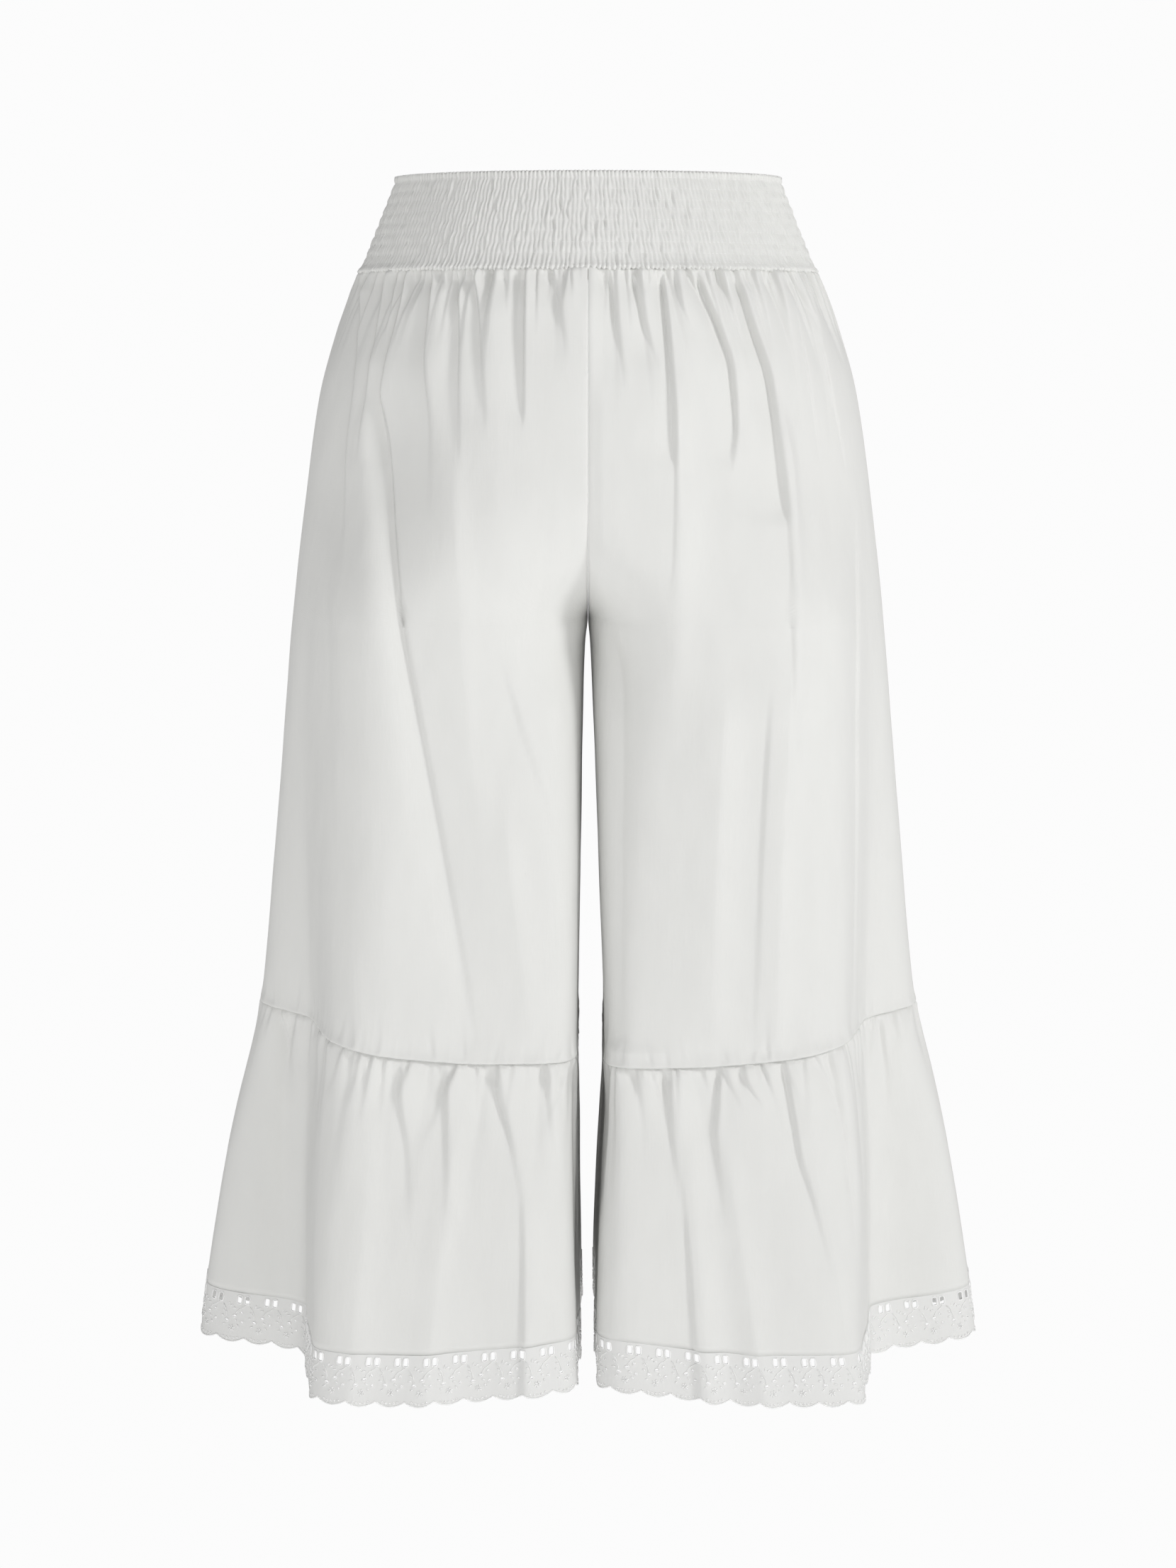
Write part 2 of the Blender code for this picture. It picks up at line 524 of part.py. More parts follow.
def build_panel(surface, material, collection):
    """One leg panel, from the waist seam down to the flounce seam."""
    side = surface.side
    face = surface.face
    top = WAIST_SEAM - SEAM_GAP / 2
    shares = []
    heights = []
    total = len(PANEL_ROWS_TO_CROTCH) + len(PANEL_ROWS_TO_FLOUNCE)
    for number in range(total):
        if number < len(PANEL_ROWS_TO_CROTCH):
            drop = PANEL_ROWS_TO_CROTCH[number]
            share = panel_columns(surface, EVEN_COLUMNS_AT_CROTCH * drop)
            height = np.full(len(share), top + (CROTCH - top) * drop)
        else:
            drop = PANEL_ROWS_TO_FLOUNCE[number - len(PANEL_ROWS_TO_CROTCH)]
            more = (1 - EVEN_COLUMNS_AT_CROTCH) * min(1.0, EVEN_COLUMNS_RATE * drop)
            share = panel_columns(surface, EVEN_COLUMNS_AT_CROTCH + more)
            end = seam_height(side, "flounce_seam", share) + SEAM_GAP / 2
            height = CROTCH + (end - CROTCH) * drop
        shares.append(share)
        heights.append(height)
    share = np.array(shares)
    height = np.array(heights)
    normal = level_rims(surface.outward(share, height))
    # At the crotch the cloth turns from running under the body to running down the leg.
    corner = len(PANEL_ROWS_TO_CROTCH) - 1
    across = 1.0 if side == "right" else -1.0
    normal[:corner, 0, 0] = 0.0
    normal[corner, 0] = (across * math.cos(CROTCH_SLANT), 0.0, -math.sin(CROTCH_SLANT))
    normal[corner + 1 :, 0] = (across, 0.0, 0.0)
    normal /= np.linalg.norm(normal, axis=-1, keepdims=True)
    lift = fold_lift(surface, share, height)
    outer = surface.point(share, height) + normal * lift[..., None]
    inner = outer - normal * PANEL_CLOTH
    points, faces = wall_between(keep_to_side(outer, side, face), keep_to_side(inner, side, face), False)
    return make_piece(f"{face}_panel_{side}", points, faces, material, collection)


def round_leg(both, side, share_front):
    """Runs once round a leg: the front from the inseam to the side, then back again behind."""
    front = both[(side, "front")]
    back = both[(side, "back")]
    return ((front, share_front), (back, share_front[::-1][1:-1]))


def build_flounce(both, side, material, collection):
    """The gathered flounce of one leg, a tube from its seam down to the trim."""
    share_front = np.linspace(0.0, 1.0, 2 * FLOUNCE_GATHERS_PER_PANEL + 1)
    outers = []
    inners = []
    for surface, share in round_leg(both, side, share_front):
        seam = seam_height(side, "flounce_seam", share) - SEAM_GAP / 2
        hem = seam_height(side, "hem", share)
        end = hem + TRIM_HEIGHT + SEAM_GAP / 2
        height = np.array([seam + (end - seam) * drop for drop in FLOUNCE_ROWS])
        share = np.broadcast_to(share, height.shape)
        normal = level_rims(surface.outward(share, height))
        lift = flounce_lift(surface.face, share, height, seam, hem)
        outer = surface.point(share, height) + normal * lift[..., None]
        outers.append(outer)
        inners.append(outer - normal * FLOUNCE_CLOTH)
    points, faces = wall_between(np.concatenate(outers, axis=1), np.concatenate(inners, axis=1), True)
    return make_piece(f"flounce_{side}", points, faces, material, collection)


def build_trim(surface, material, collection):
    """Half of one leg's eyelet trim: scallops below and a pair of slots in each repeat."""
    side = surface.side
    face = surface.face
    line = float(surface.line_length(seam_height(side, "hem", 0.5)))
    repeats = round(line / SCALLOP_WIDTH)
    pair = SLOT_PAIR_SPACING / 2 / line
    half_slot = SLOT_WIDTH / 2 / line
    # The lace runs one way round the leg, so the pair lies before or after the scallop's tip.
    pair_place = SLOT_PAIR_PLACE if (side == "right") == (face == "front") else 1 - SLOT_PAIR_PLACE
    slot_sides = []
    for number in range(repeats):
        middle = (number + pair_place) / repeats
        for centre in (middle - pair, middle + pair):
            slot_sides += [centre - half_slot, centre + half_slot]
    top_places = np.linspace(0.0, 1.0, repeats + 1)
    slot_places = np.array([0.0] + slot_sides + [1.0])
    hem_places = np.linspace(0.0, 1.0, repeats * SCALLOP_STEPS + 1)
    scallop = SCALLOP_DEPTH * (1 - np.abs(np.sin(math.pi * repeats * hem_places)) ** SCALLOP_FULLNESS)
    lines = (
        (top_places, TRIM_HEIGHT - SEAM_GAP / 2, 0.0),
        (slot_places, TRIM_HEIGHT - SLOT_TOP, 0.0),
        (slot_places, TRIM_HEIGHT - SLOT_TOP - SLOT_HEIGHT, 0.0),
        (hem_places, 0.0, scallop),
    )
    outers = []
    inners = []
    starts = []
    count = 0
    for places, above_hem, more in lines:
        hem = seam_height(side, "hem", places)
        height = hem + above_hem + more
        normal = surface.outward(places, height)
        normal[:, 2] = 0.0
        normal /= np.linalg.norm(normal, axis=-1, keepdims=True)
        lift = flounce_lift(face, places, height, seam_height(side, "flounce_seam", places), hem)
        outer = surface.point(places, height) + normal * lift[:, None]
        outers.append(keep_to_side(outer, side, face))
        inners.append(keep_to_side(outer - normal * TRIM_CLOTH, side, face))
        starts.append(count)
        count += len(places)
    numbers = [list(range(start, start + len(places))) for start, (places, _, _) in zip(starts, lines)]
    skin = bridge(numbers[0], top_places, numbers[1], slot_places)
    skin += bridge(numbers[2], slot_places, numbers[3], hem_places)
    cut = set()
    for slot in range(2 * repeats):
        cut.add(1 + 2 * slot)
    for place in range(len(slot_places) - 1):
        if place not in cut:
            a, b = numbers[1][place], numbers[1][place + 1]
            skin.append((a, b, numbers[2][place + 1], numbers[2][place]))
    faces = skin + [tuple(vertex + count for vertex in reversed(each)) for each in skin]

    def rim(line_of_vertices):
        for here, after in zip(line_of_vertices[:-1], line_of_vertices[1:]):
            faces.append((here, after, after + count, here + count))

    rim(numbers[0])
    rim(numbers[3])
    rim([line_numbers[0] for line_numbers in numbers])
    rim([line_numbers[-1] for line_numbers in numbers])
    for place in cut:
        rim([
            numbers[1][place],
            numbers[1][place + 1],
            numbers[2][place + 1],
            numbers[2][place],
            numbers[1][place],
        ])
    points = np.concatenate(outers + inners)
    return make_piece(f"{face}_trim_{side}", points, faces, material, collection)


def waist_ring(turns, height, out):
    """Points of an oval ring at a share of a turn, height and distance out from the core."""
    angle = 2 * math.pi * turns
    squareness = column(SECTIONS, "outer_square", height)
    half_width = column(SECTIONS, "half_width", height) + out
    front = column(SECTIONS, "front", height)
    back = column(SECTIONS, "back", height)
    depth = np.where(np.sin(angle) < 0, front, back) + out
    x = half_width * np.sign(np.cos(angle)) * np.abs(np.cos(angle)) ** (2 / squareness)
    y = depth * np.sign(np.sin(angle)) * np.abs(np.sin(angle)) ** (2 / squareness)
    return np.stack([x, y, np.broadcast_to(height, x.shape)], axis=-1)


def build_waistband(material, collection):
    """The shirred band: ridges pinched by rows of elastic over a plain inside."""
    columns = 2 * SHIRR_RIDGES
    turns = np.arange(columns) / columns
    bottom = WAIST_SEAM + SEAM_GAP / 2
    drop = (WAIST_TOP - SHIRR_HEADER - bottom) / (SHIRR_BANDS - 1)
    heights = [WAIST_TOP] + [WAIST_TOP - SHIRR_HEADER - drop * row for row in range(SHIRR_BANDS)]
    rows = []
    for number, height in enumerate(heights):
        pinched = number % 2 == 1 or number == SHIRR_BANDS
        rise = SHIRR_RIDGE_RISE * (SHIRR_PINCHED_SHARE if pinched else 1.0)
        puff = 0.0 if pinched else SHIRR_PUFF
        ridge = np.where(np.arange(columns) % 2 == 0, rise, 0.0)
        rows.append(waist_ring(turns, height, puff + ridge - SHIRR_INSET))
    outer = np.array(rows)
    inner_columns = SHIRR_RIDGES
    inner_turns = np.arange(inner_columns) / inner_columns
    inside = -SHIRR_INSET - WAISTBAND_CORE
    inner = np.array([waist_ring(inner_turns, height, inside) for height in (heights[0], heights[-1])])
    count = outer.shape[0] * columns
    faces = grid_faces(outer.shape[0], columns, 0, True)
    faces += [face[::-1] for face in grid_faces(2, inner_columns, count, True)]
    outer_places = np.arange(columns + 1) / columns
    inner_places = np.arange(inner_columns + 1) / inner_columns
    for outer_row, inner_row in ((0, 0), (outer.shape[0] - 1, 1)):
        inner_first = count + inner_row * inner_columns
        outer_line = [outer_row * columns + place % columns for place in range(columns + 1)]
        inner_line = [inner_first + place % inner_columns for place in range(inner_columns + 1)]
        faces += bridge(outer_line, outer_places, inner_line, inner_places)
    points = np.concatenate([outer.reshape(-1, 3), inner.reshape(-1, 3)])
    return make_piece("waistband", points, faces, material, collection)


def clear_scene():
    """Removes whatever the scene starts with."""
    for item in list(bpy.data.objects):
        bpy.data.objects.remove(item, do_unlink=True)


def cotton(name):
    """Plain white cotton for one piece."""
    material = bpy.data.materials.new(name)
    material.use_nodes = True
    shader = material.node_tree.nodes["Principled BSDF"]
    shader.inputs["Base Color"].default_value = COTTON_WHITE
    shader.inputs["Roughness"].default_value = COTTON_ROUGHNESS
    shader.inputs["Metallic"].default_value = 0.0
    return material


def main():
    clear_scene()
    collection = bpy.data.collections.new("wide_leg_trousers")
    bpy.context.scene.collection.children.link(collection)
    both = surfaces()
    build_waistband(cotton("waistband_cotton"), collection)
    for side in SIDES:
        for face in FACES:
            build_panel(both[(side, face)], cotton(f"{face}_panel_{side}_cotton"), collection)
            build_trim(both[(side, face)], cotton(f"{face}_trim_{side}_cotton"), collection)
        build_flounce(both, side, cotton(f"flounce_{side}_cotton"), collection)


main()
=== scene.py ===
"""Looks of a pair of cropped wide-leg trousers in white cotton, filled out and hollow.

A shirred elastic waistband carries four gathered leg panels. Each leg ends in a
gathered flounce edged with scalloped eyelet trim. Metres, +Z up, the front faces -Y
and the wearer's right leg lies at -X. The origin is the middle of the waistband.
"""

import logging
import math
from collections.abc import Callable, Iterable, Iterator, Sequence
from contextlib import contextmanager
from dataclasses import dataclass, field
from enum import Enum
from typing import NamedTuple

import bmesh
import bpy
import numpy as np
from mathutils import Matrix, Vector, noise
from mathutils.geometry import delaunay_2d_cdt

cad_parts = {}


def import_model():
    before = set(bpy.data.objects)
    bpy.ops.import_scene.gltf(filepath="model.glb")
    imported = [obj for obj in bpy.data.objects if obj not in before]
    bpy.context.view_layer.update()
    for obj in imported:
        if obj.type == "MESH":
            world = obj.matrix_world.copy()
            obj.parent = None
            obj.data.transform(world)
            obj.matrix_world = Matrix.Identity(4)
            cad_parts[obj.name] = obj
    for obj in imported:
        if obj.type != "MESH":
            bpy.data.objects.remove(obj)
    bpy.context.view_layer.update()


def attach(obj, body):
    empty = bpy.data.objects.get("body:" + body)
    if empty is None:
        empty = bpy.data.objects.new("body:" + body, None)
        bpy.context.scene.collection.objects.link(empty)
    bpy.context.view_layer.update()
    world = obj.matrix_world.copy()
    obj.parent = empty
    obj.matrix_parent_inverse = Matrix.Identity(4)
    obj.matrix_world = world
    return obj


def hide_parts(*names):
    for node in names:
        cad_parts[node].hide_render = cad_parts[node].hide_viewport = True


log = logging.getLogger("trousers")

BODY = "root"

# Repeats that touch within this distance are joined.
WELD = 0.00002

# Heights from the middle of the waistband.
WAIST_TOP = 0.034
WAIST_SEAM = -0.038
CROTCH = -0.305
HEM_LOWEST = -0.902
SEAM_GAP = 0.0003
FORK_POWER = 7.0
TRIM_HEIGHT = 0.0395


class Side(Enum):
    """A leg, as its wearer names it."""

    RIGHT = "right"
    LEFT = "left"


class Face(Enum):
    """The front or the back of the garment."""

    FRONT = "front"
    BACK = "back"


class Section(NamedTuple):
    """The oval that the cloth makes at one height."""

    height: float
    half_width: float
    front: float
    back: float
    outer_square: float
    inner_square: float
    inner_right: float
    inner_left: float


SECTIONS = (
    Section(0.034, 0.1500, 0.106, 0.104, 2.05, 2.05, 0.0000, 0.0000),
    Section(-0.038, 0.1787, 0.136, 0.131, 2.10, 2.10, 0.0000, 0.0000),
    Section(-0.075, 0.1934, 0.148, 0.149, 2.15, 2.15, 0.0000, 0.0000),
    Section(-0.130, 0.2093, 0.154, 0.163, 2.20, 2.20, 0.0000, 0.0000),
    Section(-0.213, 0.2216, 0.155, 0.168, 2.25, 2.25, 0.0000, 0.0000),
    Section(-0.305, 0.2320, 0.150, 0.160, 2.35, 3.10, 0.0000, 0.0000),
    Section(-0.325, 0.2340, 0.149, 0.157, 2.38, 3.30, 0.0022, 0.0016),
    Section(-0.381, 0.2388, 0.146, 0.151, 2.45, 5.00, 0.0042, 0.0044),
    Section(-0.495, 0.2490, 0.144, 0.147, 2.60, 8.00, 0.0060, 0.0085),
    Section(-0.612, 0.2608, 0.146, 0.149, 2.70, 10.50, 0.0080, 0.0124),
    Section(-0.668, 0.2750, 0.152, 0.155, 2.75, 11.00, 0.0086, 0.0126),
    Section(-0.726, 0.2883, 0.159, 0.162, 2.80, 11.50, 0.0082, 0.0100),
    Section(-0.785, 0.2992, 0.166, 0.168, 2.85, 12.00, 0.0082, 0.0074),
    Section(-0.843, 0.3085, 0.172, 0.173, 2.90, 12.50, 0.0076, 0.0062),
    Section(-0.902, 0.3165, 0.178, 0.178, 3.00, 13.00, 0.0070, 0.0070),
)


class Hollow(NamedTuple):
    """The long hollow between the full front or back of a leg and its flatter side."""

    height: float
    across: float
    inwards: float


SIDE_HOLLOW = (
    Hollow(0.034, 0.000, 0.000),
    Hollow(-0.150, 0.000, 0.000),
    Hollow(-0.213, 0.002, 0.003),
    Hollow(-0.305, 0.005, 0.007),
    Hollow(-0.381, 0.009, 0.010),
    Hollow(-0.495, 0.018, 0.014),
    Hollow(-0.612, 0.031, 0.018),
    Hollow(-0.668, 0.041, 0.026),
    Hollow(-0.726, 0.051, 0.033),
    Hollow(-0.843, 0.070, 0.038),
    Hollow(-0.902, 0.077, 0.039),
)
HOLLOW_ANGLE = 2.60
HOLLOW_REACH_ACROSS = 1.35
HOLLOW_REACH_INWARDS = 0.45
HOLLOW_EASE_BEFORE = 1.5
HOLLOW_EASE_AFTER = 2.5
BACK_HOLLOW_SHARE = 0.85


class SeamPoint(NamedTuple):
    """Heights of the flounce seam and the hem at a share of the way to the side seam."""

    share: float
    flounce_seam: float
    hem: float


SEAM_LINES = {
    Side.RIGHT: (
        SeamPoint(0.00, -0.6320, -0.8890),
        SeamPoint(0.12, -0.6345, -0.8875),
        SeamPoint(0.28, -0.6365, -0.8870),
        SeamPoint(0.42, -0.6370, -0.8935),
        SeamPoint(0.50, -0.6350, -0.8955),
        SeamPoint(0.58, -0.6315, -0.8940),
        SeamPoint(0.68, -0.6230, -0.8910),
        SeamPoint(0.78, -0.6180, -0.8870),
        SeamPoint(1.00, -0.6050, -0.8715),
    ),
    Side.LEFT: (
        SeamPoint(0.00, -0.6370, -0.8845),
        SeamPoint(0.12, -0.6395, -0.8840),
        SeamPoint(0.28, -0.6405, -0.8850),
        SeamPoint(0.42, -0.6395, -0.8930),
        SeamPoint(0.50, -0.6370, -0.8958),
        SeamPoint(0.58, -0.6330, -0.8960),
        SeamPoint(0.68, -0.6245, -0.8930),
        SeamPoint(0.78, -0.6190, -0.8885),
        SeamPoint(1.00, -0.6065, -0.8725),
    ),
}


def smooth_between(knots: Sequence[float], values: Sequence[float], at: np.ndarray) -> np.ndarray:
    """Reads a monotone cubic through rising knots.

    Args:
        knots: The rising places of the known values.
        values: The known values.
        at: The places to read.

    Returns:
        The values there, with no kinks between the knots.
    """
    knots = np.asarray(knots, float)
    values = np.asarray(values, float)
    at = np.clip(at, knots[0], knots[-1])
    steps = np.diff(knots)
    slopes = np.diff(values) / steps
    tangents = np.zeros_like(values)
    same_way = slopes[:-1] * slopes[1:] > 0
    mean = 2 * slopes[:-1] * slopes[1:] / np.where(same_way, slopes[:-1] + slopes[1:], 1.0)
    tangents[1:-1] = np.where(same_way, mean, 0.0)
    tangents[0] = slopes[0]
    tangents[-1] = slopes[-1]
    cell = np.clip(np.searchsorted(knots, at, side="right") - 1, 0, len(steps) - 1)
    width = steps[cell]
    t = (at - knots[cell]) / width
    return (
        values[cell] * (1 + 2 * t) * (1 - t) ** 2
        + values[cell + 1] * t**2 * (3 - 2 * t)
        + tangents[cell] * width * t * (1 - t) ** 2
        + tangents[cell + 1] * width * t**2 * (t - 1)
    )


def column(table: Sequence[NamedTuple], name: str, height: np.ndarray) -> np.ndarray:
    """Reads one column of a table of sections at any height.

    Args:
        table: The rows, from the highest to the lowest.
        name: The column.
        height: The heights to read.

    Returns:
        The column's values at those heights.
    """
    rows = table[::-1]
    return smooth_between([row.height for row in rows], [getattr(row, name) for row in rows], height)


def seam_height(side: Side, name: str, share: np.ndarray) -> np.ndarray:
    """Reads the height of a seam line.

    Args:
        side: The leg.
        name: "flounce_seam" or "hem".
        share: Shares of the way from the inseam to the side seam.

    Returns:
        The heights.
    """
    line = SEAM_LINES[side]
    return smooth_between([row.share for row in line], [getattr(row, name) for row in line], share)


def eased(t: np.ndarray) -> np.ndarray:
    """Turns a ramp from 0 to 1 into one with soft ends."""
    t = np.clip(t, 0.0, 1.0)
    return t * t * (3 - 2 * t)


def wander(at: np.ndarray, seed: float) -> np.ndarray:
    """Draws a smooth wave between -1 and 1 that never quite repeats.

    Args:
        at: Places along the wave, in radians.
        seed: Picks one such wave.

    Returns:
        The wave's height at each place.
    """
    waves = np.sin(at + 1.7 * seed) + 0.62 * np.sin(1.93 * at + 4.1 * seed)
    return (waves + 0.41 * np.sin(3.37 * at + 2.3 * seed)) / 2.03


def bell(angle: np.ndarray, middle: float, before: float, after: float) -> np.ndarray:
    """Draws a rounded hill over an angle.

    Args:
        angle: The angles to read.
        middle: Where the hill is 1 high.
        before: Where it starts from 0.
        after: Where it is back at 0.

    Returns:
        The hill's height at each angle.
    """
    width = np.where(angle < middle, middle - before, after - middle)
    away = np.clip(np.abs(angle - middle) / width, 0.0, 1.0)
    return 0.5 * (1 + np.cos(math.pi * away))


@dataclass
class LegForm:
    """The smooth form of one leg's front or back, from the waist to the hem."""

    side: Side
    face: Face
    curve_steps: int = 700
    share_steps: int = 401
    levels_above: int = 12
    levels_to_crotch: int = 120
    levels_crowding: float = 2.5
    levels_below: int = 150
    before_hollow: float = 0.8
    normal_share: float = 0.006
    normal_rise: float = 0.00015
    levels: np.ndarray = field(init=False)
    x: np.ndarray = field(init=False)
    y: np.ndarray = field(init=False)
    length: np.ndarray = field(init=False)
    turn: float = field(init=False)

    def __post_init__(self) -> None:
        """Works out the lines in plan at every level."""
        upper = np.linspace(WAIST_TOP, WAIST_SEAM, self.levels_above + 1)[:-1]
        drop = 1 - (1 - np.linspace(0.0, 1.0, self.levels_to_crotch)) ** self.levels_crowding
        middle = WAIST_SEAM + (CROTCH - WAIST_SEAM) * drop
        lower = np.linspace(CROTCH, HEM_LOWEST, self.levels_below + 1)[1:]
        self.levels = np.concatenate([upper, middle, lower])
        lines = [self.even_line(float(height)) for height in self.levels]
        self.x = np.array([line[0] for line in lines])
        self.y = np.array([line[1] for line in lines])
        self.length = np.array([line[2] for line in lines])
        self.turn = 1.0 if (self.side is Side.LEFT) == (self.face is Face.FRONT) else -1.0

    def plan_curve(self, height: float) -> tuple[np.ndarray, np.ndarray]:
        """Draws the cloth's line in plan, from the inseam or centre seam to the side seam.

        Args:
            height: The level of the line.

        Returns:
            The line's x and y.
        """
        drop = min(max((WAIST_SEAM - height) / (WAIST_SEAM - CROTCH), 0.0), 1.0)
        parted = drop**FORK_POWER * (FORK_POWER + 1 - FORK_POWER * drop)
        inner_square = float(column(SECTIONS, "inner_square", height))
        outer_square = float(column(SECTIONS, "outer_square", height))
        inner = float(column(SECTIONS, f"inner_{self.side.value}", height))
        half_width = float(column(SECTIONS, "half_width", height))
        depth = float(column(SECTIONS, self.face.value, height))
        radius = (half_width - inner) / (1 + parted)
        centre = inner + parted * radius
        first = math.acos(min(1.0, parted ** (inner_square / 2)))
        angle = np.linspace(first, math.pi, self.curve_steps)
        square = np.where(angle < math.pi / 2, inner_square, outer_square)
        across = np.sign(np.cos(angle)) * np.abs(np.cos(angle)) ** (2 / square)
        along = np.abs(np.sin(angle)) ** (2 / square)
        strength = 1.0 if self.face is Face.FRONT else BACK_HOLLOW_SHARE
        drawn_across = bell(angle, HOLLOW_ANGLE, HOLLOW_ANGLE - HOLLOW_REACH_ACROSS, math.pi)
        drawn_across = drawn_across ** np.where(angle > HOLLOW_ANGLE, HOLLOW_EASE_AFTER, HOLLOW_EASE_BEFORE)
        drawn_inwards = bell(angle, HOLLOW_ANGLE, HOLLOW_ANGLE - HOLLOW_REACH_INWARDS, math.pi)
        x = centre - radius * across - strength * drawn_across * float(column(SIDE_HOLLOW, "across", height))
        y = depth * along - strength * drawn_inwards * float(column(SIDE_HOLLOW, "inwards", height))
        return (-x if self.side is Side.RIGHT else x), (-y if self.face is Face.FRONT else y)

    def even_line(self, height: float) -> tuple[np.ndarray, np.ndarray, float]:
        """Resamples a plan line at even shares of its length.

        Args:
            height: The level of the line.

        Returns:
            Its x, its y and its length.
        """
        x, y = self.plan_curve(height)
        run = np.concatenate([[0.0], np.cumsum(np.hypot(np.diff(x), np.diff(y)))])
        at = np.linspace(0.0, 1.0, self.share_steps) * run[-1]
        return np.interp(at, run, x), np.interp(at, run, y), float(run[-1])

    def point(self, share: np.ndarray, height: np.ndarray) -> np.ndarray:
        """Reads points of the form.

        Args:
            share: Shares of the way from the inseam to the side seam.
            height: Heights.

        Returns:
            An array whose last axis is x, y, z.
        """
        share, height = np.broadcast_arrays(np.asarray(share, float), np.asarray(height, float))
        place = np.interp(-height, -self.levels, np.arange(len(self.levels)))
        row = np.minimum(place.astype(int), len(self.levels) - 2)
        down = place - row
        along = np.clip(share, 0.0, 1.0) * (self.share_steps - 1)
        cell = np.minimum(along.astype(int), self.share_steps - 2)
        part = along - cell

        def read(grid: np.ndarray) -> np.ndarray:
            """Reads one coordinate between the four nearest points."""
            upper = grid[row, cell] * (1 - part) + grid[row, cell + 1] * part
            lower = grid[row + 1, cell] * (1 - part) + grid[row + 1, cell + 1] * part
            return upper * (1 - down) + lower * down

        return np.stack([read(self.x), read(self.y), height], axis=-1)

    def line_length(self, height: np.ndarray) -> np.ndarray:
        """Gives the length of the plan line at each height."""
        return np.interp(-np.asarray(height, float), -self.levels, self.length)

    def share_at(self, distance: np.ndarray) -> np.ndarray:
        """Finds, level by level, the share where the line is some way from the centre line.

        Args:
            distance: The distance at each level.

        Returns:
            The share at each level.
        """
        most = int(self.before_hollow * self.share_steps)
        shares = np.linspace(0.0, 1.0, self.share_steps)[:most]
        reach = np.maximum.accumulate(np.abs(self.x[:, :most]), axis=1)
        return np.array([np.interp(d, line, shares) for d, line in zip(distance, reach)])

    def outward(self, share: np.ndarray, height: np.ndarray) -> np.ndarray:
        """Gives unit normals that point away from the body.

        Args:
            share: Shares of the way from the inseam to the side seam.
            height: Heights.

        Returns:
            The normals.
        """
        after = self.point(np.minimum(share + self.normal_share, 1.0), height)
        before = self.point(np.maximum(share - self.normal_share, 0.0), height)
        above = self.point(share, height + self.normal_rise)
        below = self.point(share, height - self.normal_rise)
        normal = np.cross(after - before, above - below) * self.turn
        return normal / np.maximum(np.linalg.norm(normal, axis=-1, keepdims=True), 1e-12)

    def keep_to_side(self, points: np.ndarray) -> np.ndarray:
        """Holds points half a seam gap clear of the planes where the panels meet.

        Args:
            points: The points, changed in place.

        Returns:
            The same points.
        """
        across = -1.0 if self.side is Side.RIGHT else 1.0
        along = -1.0 if self.face is Face.FRONT else 1.0
        points[..., 0] = across * np.maximum(across * points[..., 0], SEAM_GAP / 2)
        points[..., 1] = along * np.maximum(along * points[..., 1], SEAM_GAP / 2)
        return points


@dataclass(frozen=True)
class Crease:
    """A trough in the cloth, or with a depth below 0 a ridge. Its sizes are in millimetres.

    path holds a height and a place in turn, read downwards. The place is the distance from
    the centre line on a panel, and thousandths of the line on a flounce. lean says which
    flank is the steep one: 1 is the flank towards the side seam, -1 the other, and what
    lies between is softer. fade below 1 ends the crease sharply, above 1 it melts into the
    cloth, and below 0 the crease grows on its way down.
    """

    path: tuple[float, ...]
    depth: float
    width: float
    fade: float = 1.0
    lean: float = 0.0
    spread: float = 1.5

    STEEPER = 0.78
    GENTLER = 1.10
    FALL_POWER = 1.3
    RISE_POWER = 1.7
    CREST = 0.22
    CREST_START = 1.5
    CREST_WIDTH = 0.0075
    STARTS_AT_WAIST = WAIST_SEAM - 0.008
    STARTS_AT_FLOUNCE = -0.645
    FROM_SEAM = 1.35
    AT_SEAM = 0.22
    FULL_DROP = 0.010
    EASE_IN = 0.40
    LONGEST_EASE = 0.070

    def lift(self, form: LegForm, share: np.ndarray, height: np.ndarray, on_flounce: bool) -> np.ndarray:
        """Works out how far this crease moves the cloth outwards.

        Args:
            form: The form that the cloth lies on.
            share: Shares of the way from the inseam to the side seam.
            height: Heights.
            on_flounce: Whether the cloth is the flounce, not the panel.

        Returns:
            The distance out, below 0 in the trough.
        """
        heights = np.array(self.path[::2]) / 1000
        places = np.array(self.path[1::2]) / 1000
        along = smooth_between(heights[::-1], places[::-1], form.levels)
        middle = np.interp(-height, -form.levels, along if on_flounce else form.share_at(along))
        top = heights[0]
        extent = top - heights[-1]
        drop = np.clip((top - height) / extent, 0.0, 1.0)
        run = (share - middle) * form.line_length(height)
        width = self.width / 1000 * (1 + self.spread * drop)
        shape = leaning_trough(run, width, self.lean, self.CREST_WIDTH)
        below = np.maximum(top - height, 0.0)
        if top > self.STARTS_AT_WAIST or (on_flounce and top > self.STARTS_AT_FLOUNCE):
            start = self.AT_SEAM + (self.FROM_SEAM - self.AT_SEAM) * np.minimum(below / self.FULL_DROP, 1.0)
        else:
            start = eased(below / min(self.EASE_IN * extent, self.LONGEST_EASE))
        strength = (1 - drop) ** self.fade if self.fade >= 0 else drop**-self.fade
        return self.depth / 1000 * strength * start * shape


